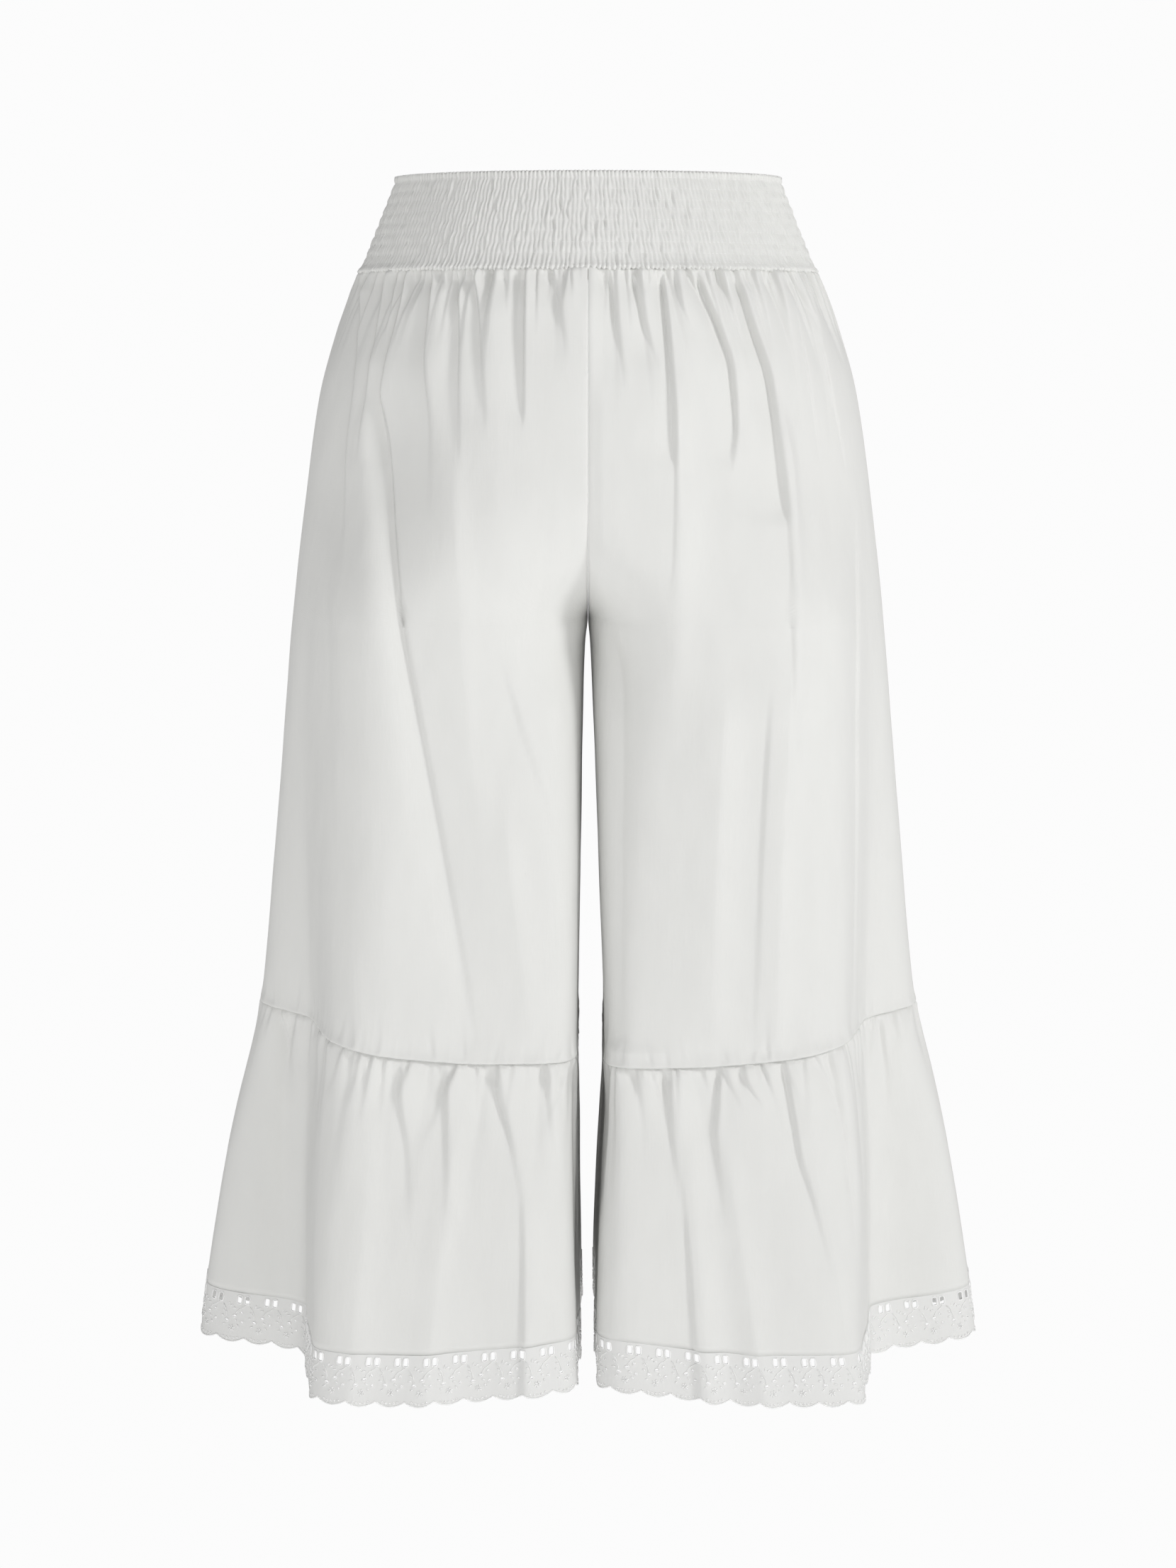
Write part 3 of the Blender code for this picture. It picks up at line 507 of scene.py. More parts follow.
def leaning_trough(run: np.ndarray, width: np.ndarray, lean: float, crest_width: float) -> np.ndarray:
    """Draws the cut through a fold: a gentle fall, a trough, a steep rise and a rounded crest.

    Args:
        run: Distances across the fold from the bottom of its trough.
        width: The trough's half width.
        lean: 1 if the steep rise is on the side where run is above 0, -1 if on the other,
            nearer 0 for a softer rise, and 0 for an even trough.
        crest_width: How broad the crest beyond the steep rise is.

    Returns:
        The height of the cloth, -1 at the bottom of the trough and 0 far away.
    """
    toward_rise = run * math.copysign(1.0, lean)
    steep = width * (1 - Crease.STEEPER * abs(lean))
    gentle = width * (1 + Crease.GENTLER * abs(lean))
    fall = np.exp(-((np.maximum(-toward_rise, 0.0) / gentle) ** Crease.FALL_POWER))
    rise = np.exp(-((np.maximum(toward_rise, 0.0) / steep) ** Crease.RISE_POWER))
    beyond = np.maximum(toward_rise - Crease.CREST_START * steep, 0.0) / (crest_width + width)
    crest = Crease.CREST * abs(lean) * (1 - rise) * np.exp(-(beyond**2))
    return np.where(toward_rise < 0, -fall, crest - rise)


@dataclass(frozen=True)
class Gathers:
    """Short uneven gathers that fan out from a seam, each a small leaning fold, in millimetres."""

    spacing: tuple[float, float]
    length: tuple[float, float]
    depth: tuple[float, float]
    width: tuple[float, float]
    seed: int
    lean: float = 0.0
    slant: float = 0.10

    REACH = 5.0
    MARGIN = 0.008
    SPREAD = 1.3
    AT_SEAM = 0.5
    FULL_DROP = 0.004
    FADE = 1.2

    def lift(self, run: np.ndarray, below: np.ndarray) -> np.ndarray:
        """Works out how far the gathers move the cloth outwards.

        Args:
            run: For each column, its distance along the seam.
            below: For each place on the grid, its distance below the seam.

        Returns:
            The distance out, below 0 in the troughs.
        """
        random = np.random.default_rng(self.seed)
        lift = np.zeros(below.shape)
        at = random.uniform(*self.spacing) / 1000
        while at < run[-1]:
            length = random.uniform(*self.length) / 1000
            depth = random.uniform(*self.depth) / 1000
            width = random.uniform(*self.width) / 1000
            slant = random.normal(0.0, self.slant)
            near = np.flatnonzero(np.abs(run - at) < self.REACH * width + abs(slant) * length + self.MARGIN)
            if len(near):
                drop = np.clip(below[:, near] / length, 0.0, 1.0)
                away = run[None, near] - at - slant * below[:, near]
                trough = leaning_trough(away, width * (1 + self.SPREAD * drop), self.lean, width)
                start = self.AT_SEAM + (1 - self.AT_SEAM) * np.minimum(below[:, near] / self.FULL_DROP, 1.0)
                lift[:, near] += depth * start * (1 - drop) ** self.FADE * trough
            at += random.uniform(*self.spacing) / 1000
        return lift


def crowded(stops: Sequence[tuple[float, float]]) -> np.ndarray:
    """Lays out places whose spacing changes smoothly from stop to stop.

    Args:
        stops: Pairs of a place and the spacing wanted there, in order.

    Returns:
        The places, from the first stop to the last, an odd number of them so that the skin
        behind can take every second one.
    """
    places = np.array([stop[0] for stop in stops])
    spacing = np.array([stop[1] for stop in stops])
    fine = np.linspace(places[0], places[-1], 4001)
    wanted = np.interp(np.abs(fine[1:] - places[0]), np.abs(places - places[0]), spacing)
    steps = np.abs(np.diff(fine)) / wanted
    count = np.concatenate([[0.0], np.cumsum(steps)])
    whole = 2 * math.ceil(count[-1] / 2)
    return np.interp(np.linspace(0.0, count[-1], whole + 1), count, fine)


PANEL_CREASES = {
    (Side.RIGHT, Face.FRONT): (
        Crease((-38, 13, -60, 12), 1.8, 3, 1, -1),
        Crease((-38, 28, -66, 22, -108, 17), 3, 5, 1, -1),
        Crease((-38, 48, -92, 49, -152, 49), 5.6, 6, 0.5, -1, 0.1),
        Crease((-38, 63, -72, 62), 2.8, 4.5, 1, -1),
        Crease((-38, 87, -103, 81, -160, 77), 4.6, 6, 0.9, -1, 0.8),
        Crease((-38, 94, -52, 93), 2, 3, 1, -1),
        Crease((-38, 100, -103, 99, -185, 97), 5, 5.5, 1, -1, 0.8),
        Crease((-38, 110, -56, 110), 2.6, 4, 1, -1),
        Crease((-38, 119, -103, 125, -165, 121, -230, 121), 5, 6, 1.1, -1, 1.6),
        Crease((-38, 126, -63, 128), 2.4, 4, 1, -1),
        Crease((-38, 133, -71, 139), 2.2, 4, 1, -1),
        Crease((-38, 139, -76, 147, -113, 155, -142, 160, -187, 157), 4.6, 5, 0.35, -1, 0.5),
        Crease((-105, 161, -229, 150, -291, 142, -394, 124, -462, 112, -625, 85), 4, 6, 0.5, -1, 0.8),
        Crease((-105, 160, -229, 149, -291, 141, -394, 122, -462, 110, -625, 83), 10, 21, 0.45, 0.6, 0.3),
        Crease((-150, 100, -260, 98, -400, 90, -520, 78), -4, 18, 0.6, -0.6, 0.5),
        Crease((-320, 70, -400, 45, -480, 20), 2.8, 9, 0.8, -1, 0.4),
        Crease((-420, 66, -520, 56, -625, 44), -5, 16, 0.4, -0.6, 0.4),
        Crease((-38, 146, -73, 154, -105, 159), 3, 4.5, 1, -1),
        Crease((-38, 154, -76, 163, -113, 168, -155, 173, -182, 175), 4.4, 6, 0.7, -1, 0.8),
        Crease((-38, 163, -54, 168), 2.4, 4, 1, -1),
        Crease((-38, 171, -75, 178, -123, 181, -177, 186, -262, 187), 4.4, 8, 0.7, -1, 1),
        Crease((-60, 158, -120, 175, -200, 181), -2.2, 6, 1),
        Crease((-110, 150, -165, 168, -220, 166), -3, 7, 1),
        Crease((-120, 68, -260, 70, -420, 60), -1.6, 18, 1.2),
        Crease((-190, 30, -330, 34, -460, 26), 2.4, 14, 1),
        Crease((-240, 200, -400, 196, -620, 190), 2, 10, 0.6),
        Crease((-430, 150, -540, 156, -625, 160), -2, 16, 0.5),
    ),
    (Side.LEFT, Face.FRONT): (
        Crease((-38, 10, -56, 12), 2, 3, 1, 1),
        Crease((-38, 15, -77, 20, -126, 26), 4, 5.5, 0.8, 1),
        Crease((-38, 26, -52, 28), 2, 3.5, 1, 1),
        Crease((-42, 33, -77, 41, -112, 51), 4, 6, 0.7, 1, 0.8),
        Crease((-38, 45, -58, 45), 2.6, 4, 1, 1),
        Crease((-42, 56, -97, 60, -134, 61, -181, 62), 5.2, 5, 0.35, 1, 0.6),
        Crease((-110, 63, -224, 63, -300, 61), 2.4, 6, 0.8, 1, 0.6),
        Crease((-85, 63, -181, 66, -238, 68, -300, 66, -400, 60), -9.2, 22, 0.8, 0.65, 0.5),
        Crease((-290, 18, -380, 20, -480, 21, -625, 22), 10.5, 27, 0.2, -0.5, 0.1),
        Crease((-120, 141, -200, 150, -300, 156, -380, 157), -8, 14, 0.5, 0.65, 0.5),
        Crease((-310, 152, -400, 149, -500, 145, -625, 142), -7.8, 18, 0.3, 0.65, 0.3),
        Crease((-330, 104, -450, 98, -625, 92), -6, 20, 0.3, 0.55, 0.3),
        Crease((-42, 64, -66, 69, -94, 82), 3, 4.5, 1, 1),
        Crease((-38, 74, -56, 77), 2.2, 4, 1, 1),
        Crease((-42, 82, -60, 90, -82, 99, -113, 108, -153, 110, -183, 106), 5.2, 5, 0.35, 1, 0.4),
        Crease((-40, 99, -71, 109, -103, 119), 3.2, 5, 0.9, 1),
        Crease((-42, 111, -56, 114), 2.6, 4, 1, 1),
        Crease((-45, 113, -87, 127, -123, 137, -181, 141, -225, 146), 6, 6.5, 0.25, 1, 0.5),
        Crease((-150, 140, -260, 149, -359, 152, -440, 150), 2.6, 6, 0.6, 1, 0.8),
        Crease((-41, 122, -56, 126), 2.4, 4, 1, 1),
        Crease((-40, 135, -76, 148, -100, 153), 3.4, 5, 0.9, 1),
        Crease((-41, 152, -71, 164, -113, 178), 2.6, 5.5, 1, 1),
        Crease((-60, 158, -134, 169, -180, 175), 1.8, 3.5, 0.5, 1),
        Crease((-60, 171, -134, 186, -190, 197), 1.8, 3.5, 0.5, 1),
        Crease((-70, 36, -105, 34, -160, 36), 2.6, 9, 1),
        Crease((-340, 136, -480, 129, -625, 124), 2, 8, 0.4, 1, 0.6),
        Crease((-110, 150, -200, 162, -330, 168), -2.2, 10, 1),
        Crease((-260, 100, -400, 92, -600, 86), -2.2, 18, 0.5),
        Crease((-210, 206, -400, 206, -620, 205), 2, 6, 0.4, 1),
    ),
    (Side.RIGHT, Face.BACK): (
        Crease((-38, 11, -75, 12), 3, 4.5, 1, 1),
        Crease((-38, 25, -100, 24, -142, 21), 4.6, 6, 0.6, -1, 0.8),
        Crease((-38, 33, -55, 34), 2.2, 4, 1, 1),
        Crease((-38, 41, -80, 43), 3.2, 5, 1, 1),
        Crease((-38, 56, -110, 60, -185, 61), 5.2, 6, 0.45, -1, 0.6),
        Crease((-38, 64, -58, 65), 2.2, 4, 1, -1),
        Crease((-38, 71, -86, 74), 3.2, 5, 1, 1),
        Crease((-38, 87, -130, 95, -190, 98), 5.2, 6, 0.4, -1, 0.8),
        Crease((-160, 97, -270, 98, -430, 90), 4.2, 12, 0.7, -1, 1),
        Crease((-38, 101, -80, 108), 3, 5, 1, 1),
        Crease((-38, 114, -100, 124, -160, 129), 4.4, 6, 0.7, -1),
        Crease((-38, 121, -55, 124), 2.2, 4, 1, -1),
        Crease((-38, 127, -110, 143, -190, 149), 5.2, 6, 0.4, 1, 0.8),
        Crease((-160, 147, -280, 152, -450, 144), 4.2, 12, 0.6, 1, 1),
        Crease((-38, 141, -85, 153), 3, 5, 1, 1),
        Crease((-38, 155, -110, 171, -176, 177), 4, 6, 0.8, -1),
        Crease((-38, 168, -92, 182), 2.8, 6, 1, -1),
        Crease((-200, 60, -350, 54, -520, 46), 2.6, 15, 0.8),
        Crease((-300, 120, -450, 116, -610, 112), -2.4, 18, 0.6),
        Crease((-420, 166, -540, 164, -620, 162), 2.6, 12, 0.5),
    ),
    (Side.LEFT, Face.BACK): (
        Crease((-38, 9, -70, 9), 2.8, 4.5, 1, 1),
        Crease((-38, 22, -110, 26, -162, 26), 4.8, 6, 0.6, 1, 0.8),
        Crease((-38, 30, -56, 31), 2.2, 4, 1, -1),
        Crease((-38, 37, -82, 36), 3.2, 5, 1, -1),
        Crease((-38, 52, -120, 58, -200, 61), 5.4, 6.5, 0.45, 1, 0.7),
        Crease((-38, 60, -58, 61), 2.2, 4, 1, 1),
        Crease((-38, 67, -82, 68), 3, 5, 1, -1),
        Crease((-38, 82, -105, 89, -160, 91), 4.6, 6, 0.7, 1),
        Crease((-38, 96, -130, 109, -200, 112), 5.4, 6, 0.4, -1, 0.8),
        Crease((-170, 111, -280, 112, -450, 103), 4.4, 12, 0.6, -1, 1),
        Crease((-38, 104, -55, 107), 2.2, 4, 1, -1),
        Crease((-38, 110, -88, 119), 3, 5, 1, 1),
        Crease((-38, 124, -110, 137, -200, 144), 5, 7, 0.7, -1),
        Crease((-38, 139, -82, 151), 3, 5, 1, 1),
        Crease((-38, 153, -110, 169, -182, 177), 4.2, 6, 0.8, 1),
        Crease((-38, 167, -88, 181), 2.8, 6, 1, -1),
        Crease((-220, 58, -360, 52, -540, 48), 2.8, 14, 0.8),
        Crease((-300, 138, -450, 134, -610, 128), -2.4, 18, 0.6),
        Crease((-440, 90, -540, 86, -620, 84), 2.4, 13, 0.5),
    ),
}

FLOUNCE_CREASES = {
    (Side.RIGHT, Face.FRONT): (
        Crease((-637, 608, -665, 604), 2.2, 4, 1, -1, 2),
        Crease((-636, 553, -655, 549, -705, 523, -780, 501), 3.4, 6, 1, -1, 2.6),
        Crease((-638, 482, -669, 474, -730, 462, -790, 456), 3.6, 6, 1.1, -1, 2.6),
        Crease((-638, 404, -654, 399, -689, 376, -731, 356), 4, 5.5, 0.8, -1, 1),
        Crease((-700, 372, -740, 352, -800, 346, -900, 344), 2.6, 5, -0.3, -1, 0.6),
        Crease((-655, 396, -731, 347, -776, 341, -900, 337), -7.8, 21, -0.5, -0.55, 0.2),
        Crease((-655, 450, -740, 454, -895, 462), -5, 12, -0.5, 0, 0.5),
        Crease((-650, 590, -740, 570, -895, 560), -4.4, 18, -0.5, -0.55, 0.4),
        Crease((-638, 322, -668, 318, -720, 300), 3, 5, 1, -1, 2.6),
        Crease((-637, 240, -690, 232, -820, 226), 3, 7, 0.8, -1, 2.6),
        Crease((-636, 150, -700, 148, -860, 150), 2.6, 7, 0.8, -1, 2.6),
        Crease((-618, 860, -700, 842, -860, 815), 3, 8, 0.5, 0, 1),
    ),
    (Side.LEFT, Face.FRONT): (
        Crease((-638, 265, -669, 255, -760, 246), 3.4, 6, 0.9, 1, 2.6),
        Crease((-638, 326, -667, 319), 3, 4, 1, 1, 2),
        Crease((-639, 379, -652, 376, -680, 371, -740, 381), 4.4, 6, 0.9, 1, 1.6),
        Crease((-655, 378, -710, 398, -787, 406, -900, 410), -8.5, 22, -0.45, 0.6, 0.1),
        Crease((-700, 384, -787, 392, -900, 396), 2.6, 5, -0.3, 1, 0.6),
        Crease((-638, 457, -668, 444, -692, 436, -760, 442), 4.2, 6, 0.9, 1, 1.6),
        Crease((-660, 446, -735, 458, -797, 468, -895, 480), -5.8, 16, -0.5, 0.55, 0.2),
        Crease((-638, 490, -651, 497, -668, 514), 2.8, 3.5, 0.7, 1, 0.5),
        Crease((-637, 559, -701, 558, -740, 569, -800, 584), 3.4, 4.5, 0.8, 1, 1.4),
        Crease((-660, 570, -760, 586, -895, 600), -4, 15, -0.5, 0.5, 0.3),
        Crease((-630, 640, -680, 640, -800, 632), 2.4, 6, 0.8, 1, 2.6),
        Crease((-636, 170, -720, 168, -880, 172), 2.8, 7, 0.7, 1, 2.6),
        Crease((-618, 843, -650, 843, -700, 838), 3, 4.5, 0.8, 1, 2),
    ),
    (Side.RIGHT, Face.BACK): (
        Crease((-637, 580, -690, 566, -800, 556), 3.6, 6, 0.8, 1, 2.6),
        Crease((-638, 470, -700, 462, -890, 458), 5.4, 7, 0.3, 1, 2),
        Crease((-638, 390, -680, 384), 3, 4.5, 1, -1, 2),
        Crease((-638, 330, -720, 318, -895, 312), 5.2, 7, 0.3, -1, 2),
        Crease((-636, 220, -700, 214, -860, 208), 3.6, 7, 0.7, -1, 2.6),
        Crease((-620, 830, -690, 826), 2.8, 4.5, 0.8, 1, 2),
        Crease((-640, 420, -740, 400, -895, 392), -3, 11, 0.3, 0, 0.6),
    ),
    (Side.LEFT, Face.BACK): (
        Crease((-638, 540, -700, 532, -880, 524), 5, 7, 0.4, -1, 2),
        Crease((-638, 440, -676, 446), 3, 4.5, 1, 1, 2),
        Crease((-638, 400, -720, 386, -895, 378), 5.6, 7, 0.3, 1, 2),
        Crease((-638, 300, -700, 292, -840, 286), 3.8, 7, 0.7, 1, 2.6),
        Crease((-636, 180, -720, 180, -880, 184), 3, 7, 0.7, -1, 2.6),
        Crease((-620, 850, -700, 842), 2.8, 5, 0.8, -1, 1),
        Crease((-640, 470, -740, 462, -895, 450), -3, 11, 0.3, 0, 0.6),
    ),
}


@dataclass(frozen=True)
class CottonFinish:
    """White plain-weave cotton: faint uneven yarns, a soft mottle and a slight nap."""

    name: str
    colour: tuple[float, float, float]
    shade: tuple[float, float, float]
    roughness: float = 0.88
    sheen: float = 0.12
    yarn_pitch: float = 0.0009
    yarn_height: float = 0.00005
    rumple_size: float = 0.016
    rumple_height: float = 0.0011
    streak_size: float = 0.0035
    streak_height: float = 0.00012
    bump_strength: float = 0.6

    def material(self) -> bpy.types.Material:
        """Builds the material.

        Returns:
            A material that reads the cloth's own measure from the attribute "cloth".
        """
        made = bpy.data.materials.new(self.name)
        made.use_nodes = True
        nodes = made.node_tree.nodes
        links = made.node_tree.links
        shader = nodes["Principled BSDF"]
        shader.inputs["Roughness"].default_value = self.roughness
        shader.inputs["Sheen Weight"].default_value = self.sheen
        shader.inputs["Sheen Roughness"].default_value = 0.6
        shader.inputs["Specular IOR Level"].default_value = 0.25
        cloth = nodes.new("ShaderNodeAttribute")
        cloth.attribute_name = "cloth"
        where = nodes.new("ShaderNodeTexCoord")
        rumple = self.noise(made, where.outputs["Object"], (1.0, 1.0, 0.40), self.rumple_size, 3.0)
        streaks = self.noise(made, cloth.outputs["Vector"], (1.0, 0.03, 1.0), self.streak_size, 2.0)
        warp = self.noise(made, cloth.outputs["Vector"], (1.0, 0.05, 1.0), self.yarn_pitch, 1.0)
        weft = self.noise(made, cloth.outputs["Vector"], (0.05, 1.0, 1.0), self.yarn_pitch, 1.0)
        yarns = nodes.new("ShaderNodeMath")
        yarns.operation = "ADD"
        links.new(warp, yarns.inputs[0])
        links.new(weft, yarns.inputs[1])
        mottle = nodes.new("ShaderNodeMix")
        mottle.data_type = "RGBA"
        mottle.inputs["A"].default_value = (*self.shade, 1.0)
        mottle.inputs["B"].default_value = (*self.colour, 1.0)
        links.new(rumple, mottle.inputs["Factor"])
        links.new(mottle.outputs["Result"], shader.inputs["Base Color"])
        relief = (
            (rumple, self.rumple_height),
            (streaks, self.streak_height),
            (yarns.outputs["Value"], self.yarn_height),
        )
        normal = None
        for height, distance in relief:
            bump = nodes.new("ShaderNodeBump")
            bump.inputs["Strength"].default_value = self.bump_strength
            bump.inputs["Distance"].default_value = distance
            links.new(height, bump.inputs["Height"])
            if normal:
                links.new(normal, bump.inputs["Normal"])
            normal = bump.outputs["Normal"]
        links.new(normal, shader.inputs["Normal"])
        return made

    @staticmethod
    def noise(
        made: bpy.types.Material,
        vector: bpy.types.NodeSocket,
        stretch: tuple[float, float, float],
        size: float,
        detail: float,
    ) -> bpy.types.NodeSocket:
        """Adds a noise texture.

        Args:
            made: The material.
            vector: The coordinates that it reads.
            stretch: The scale of each axis, below 1 to draw the noise out along it.
            size: The breadth of its patches.
            detail: Octaves of finer noise.

        Returns:
            The socket of its value, from 0 to 1.
        """
        nodes, links = made.node_tree.nodes, made.node_tree.links
        mapping = nodes.new("ShaderNodeMapping")
        mapping.inputs["Scale"].default_value = stretch
        texture = nodes.new("ShaderNodeTexNoise")
        texture.inputs["Scale"].default_value = 1 / size
        texture.inputs["Detail"].default_value = detail
        links.new(vector, mapping.inputs["Vector"])
        links.new(mapping.outputs["Vector"], texture.inputs["Vector"])
        return texture.outputs["Fac"]


PLAIN = CottonFinish("plain_cotton", (0.725, 0.725, 0.706), (0.690, 0.690, 0.672))
# The band's cotton is the plain cotton painted about 3.5 per cent lighter: painted light that lifts the shade
# cast by the band's own ridges.
SHIRRED = CottonFinish("shirred_cotton", (0.750, 0.750, 0.731), (0.715, 0.715, 0.697))
TRIM = CottonFinish("trim_cotton", (0.725, 0.725, 0.712), (0.700, 0.700, 0.688), rumple_height=0.0002)
THREAD = CottonFinish("white_thread", (0.860, 0.860, 0.855), (0.840, 0.840, 0.832), roughness=0.6)


class Slot(Enum):
    """The names of the finishes."""

    SHIRRED = "shirred_cotton"
    PLAIN = "plain_cotton"
    TRIM = "eyelet_trim"


def grid_quads(rows: int, columns: int, first: int, ring: bool) -> np.ndarray:
    """Numbers the four-sided faces of a grid of vertices.

    Args:
        rows: Rows of vertices.
        columns: Vertices in a row.
        first: The number of the first vertex.
        ring: Whether each row closes on itself.

    Returns:
        One row of four vertex numbers for each face.
    """
    row, place = np.meshgrid(np.arange(rows - 1), np.arange(columns if ring else columns - 1), indexing="ij")
    low = first + row * columns
    after = (place + 1) % columns
    quads = np.stack([low + place, low + after, low + columns + after, low + columns + place], axis=-1)
    return quads.reshape(-1, 4)


def rim(outer: Sequence[int], inner: Sequence[int], ring: bool) -> list[tuple[int, ...]]:
    """Closes the edge between a skin and one half as finely divided behind it.

    Args:
        outer: Vertices along the skin's edge.
        inner: Every second place of the same edge, on the skin behind.
        ring: Whether the edge closes on itself.

    Returns:
        The faces of the rim.
    """
    faces = []
    spans = len(inner) if ring else len(inner) - 1
    for span in range(spans):
        first, middle, last = (outer[(2 * span + step) % len(outer)] for step in range(3))
        here, after = inner[span], inner[(span + 1) % len(inner)]
        faces += [(first, middle, here), (middle, after, here), (middle, last, after)]
    return faces


def least_nearby(lift: np.ndarray, reach: int, ring: bool) -> np.ndarray:
    """Finds the lowest lift near each place, so that an inner skin stays inside.

    Args:
        lift: The distance out over the grid.
        reach: How many places away still count.
        ring: Whether each row closes on itself.

    Returns:
        The lowest lift near each place.
    """
    least = lift.copy()
    for axis in (0, 1):
        padded = least
        for step in range(1, reach + 1):
            for way in (-step, step):
                moved = np.roll(least, way, axis=axis)
                if axis == 0 or not ring:
                    edge = [slice(None)] * 2
                    edge[axis] = slice(0, way) if way > 0 else slice(way, None)
                    moved[tuple(edge)] = least[tuple(edge)]
                padded = np.minimum(padded, moved)
        least = padded
    return least


def drape_noise(points: np.ndarray, size: float, height: float) -> np.ndarray:
    """Draws a faint unevenness of the cloth, stretched downwards.

    Args:
        points: Places on the cloth.
        size: The breadth of the undulations.
        height: How far they rise.

    Returns:
        The distance out at each place.
    """
    flat = points.reshape(-1, 3) / size
    flat[:, 2] *= 0.35
    found = [noise.noise(Vector(each)) + 0.4 * noise.noise(Vector(each * 2.7)) for each in flat]
    return height * np.array(found).reshape(points.shape[:-1])


def linked(name: str, mesh: bpy.types.Mesh) -> bpy.types.Object:
    """Makes an object of a mesh and puts it in the scene.

    Args:
        name: The object's name.
        mesh: Its mesh.

    Returns:
        The object.
    """
    made = bpy.data.objects.new(name, mesh)
    bpy.context.scene.collection.objects.link(made)
    return made


@contextmanager
def edited(mesh: bpy.types.Mesh) -> Iterator[bmesh.types.BMesh]:
    """Opens a mesh for editing and writes it back afterwards.

    Args:
        mesh: The mesh.

    Yields:
        Its editable form.
    """
    work = bmesh.new()
    work.from_mesh(mesh)
    yield work
    work.to_mesh(mesh)
    work.free()


def carried_out(piece: bpy.types.Object) -> bpy.types.Mesh:
    """Copies an object's mesh with its modifiers carried out.

    Args:
        piece: The object.

    Returns:
        The plain mesh.
    """
    graph = bpy.context.evaluated_depsgraph_get()
    graph.update()
    return bpy.data.meshes.new_from_object(piece.evaluated_get(graph), depsgraph=graph)


def keep_measure(mesh: bpy.types.Mesh, measure: np.ndarray) -> None:
    """Stores the cloth's own measure, for its material to read.

    Args:
        mesh: The cloth.
        measure: For each vertex its place on the flat cloth, in metres.
    """
    kept = mesh.attributes.new("cloth", "FLOAT_VECTOR", "POINT")
    kept.data.foreach_set("vector", np.asarray(measure, np.float32).reshape(-1))


def cloth_object(
    name: str, points: np.ndarray, faces: Iterable[Sequence[int]], measure: np.ndarray
) -> bpy.types.Object:
    """Makes a smooth mesh object that carries the cloth's own measure.

    Args:
        name: The piece's name.
        points: The vertices.
        faces: The faces, as vertex numbers.
        measure: For each vertex its place on the flat cloth, in metres.

    Returns:
        The object, linked to the scene, with its faces pointing outwards.
    """
    mesh = bpy.data.meshes.new(name)
    mesh.from_pydata(points.tolist(), [], [tuple(map(int, face)) for face in faces])
    keep_measure(mesh, measure)
    with edited(mesh) as work:
        bmesh.ops.recalc_face_normals(work, faces=work.faces)
        if work.calc_volume(signed=True) < 0:
            bmesh.ops.reverse_faces(work, faces=work.faces)
    mesh.shade_smooth()
    return linked(name, mesh)


@dataclass
class Skin:
    """A grid of cloth: its places on the form, how far it stands out, and its flat measure."""

    base: np.ndarray
    normal: np.ndarray
    lift: np.ndarray
    measure: np.ndarray

    def shell(
        self,
        name: str,
        thickness: float,
        ring: bool,
        hold: Callable[[np.ndarray], np.ndarray] | None = None,
    ) -> bpy.types.Object:
        """Makes the closed shell: the full grid outside, and half as fine a grid inside.

        Args:
            name: The piece's name.
            thickness: The cloth's thickness.
            ring: Whether each row closes on itself.
            hold: A function that keeps the points clear of the neighbouring pieces.

        Returns:
            The piece.
        """
        outer = self.base + self.normal * self.lift[..., None]
        inner_lift = least_nearby(self.lift, 2, ring)[::2, ::2] - thickness
        inner = self.base[::2, ::2] + self.normal[::2, ::2] * inner_lift[..., None]
        if hold:
            outer, inner = hold(outer), hold(inner)
        rows, columns = outer.shape[:2]
        inner_rows, inner_columns = inner.shape[:2]
        count = rows * columns
        faces: list[Sequence[int]] = list(grid_quads(rows, columns, 0, ring))
        faces += list(grid_quads(inner_rows, inner_columns, count, ring)[:, ::-1])
        numbers = np.arange(count).reshape(rows, columns)
        behind = count + np.arange(inner_rows * inner_columns).reshape(inner_rows, inner_columns)
        edges = [(numbers[0], behind[0], ring), (numbers[-1], behind[-1], ring)]
        if not ring:
            edges += [(numbers[:, 0], behind[:, 0], False), (numbers[:, -1], behind[:, -1], False)]
        for line, line_behind, closes in edges:
            faces += rim(line, line_behind, closes)
        points = np.concatenate([outer.reshape(-1, 3), inner.reshape(-1, 3)])
        measure = np.concatenate([self.measure.reshape(-1, 3), self.measure[::2, ::2].reshape(-1, 3)])
        return cloth_object(name, points, faces, measure)


def finish_piece(
    piece: bpy.types.Object, material: bpy.types.Material, nodes: Sequence[str] = ()
) -> None:
    """Dresses a piece and ties it to the frame.

    Args:
        piece: The piece.
        material: Its material.
        nodes: The solids that it stands for.
    """
    piece.data.materials.clear()
    piece.data.materials.append(material)
    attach(piece, BODY)
    if nodes:
        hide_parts(*nodes)
    log.info("%s: %d faces", piece.name, len(piece.data.polygons))


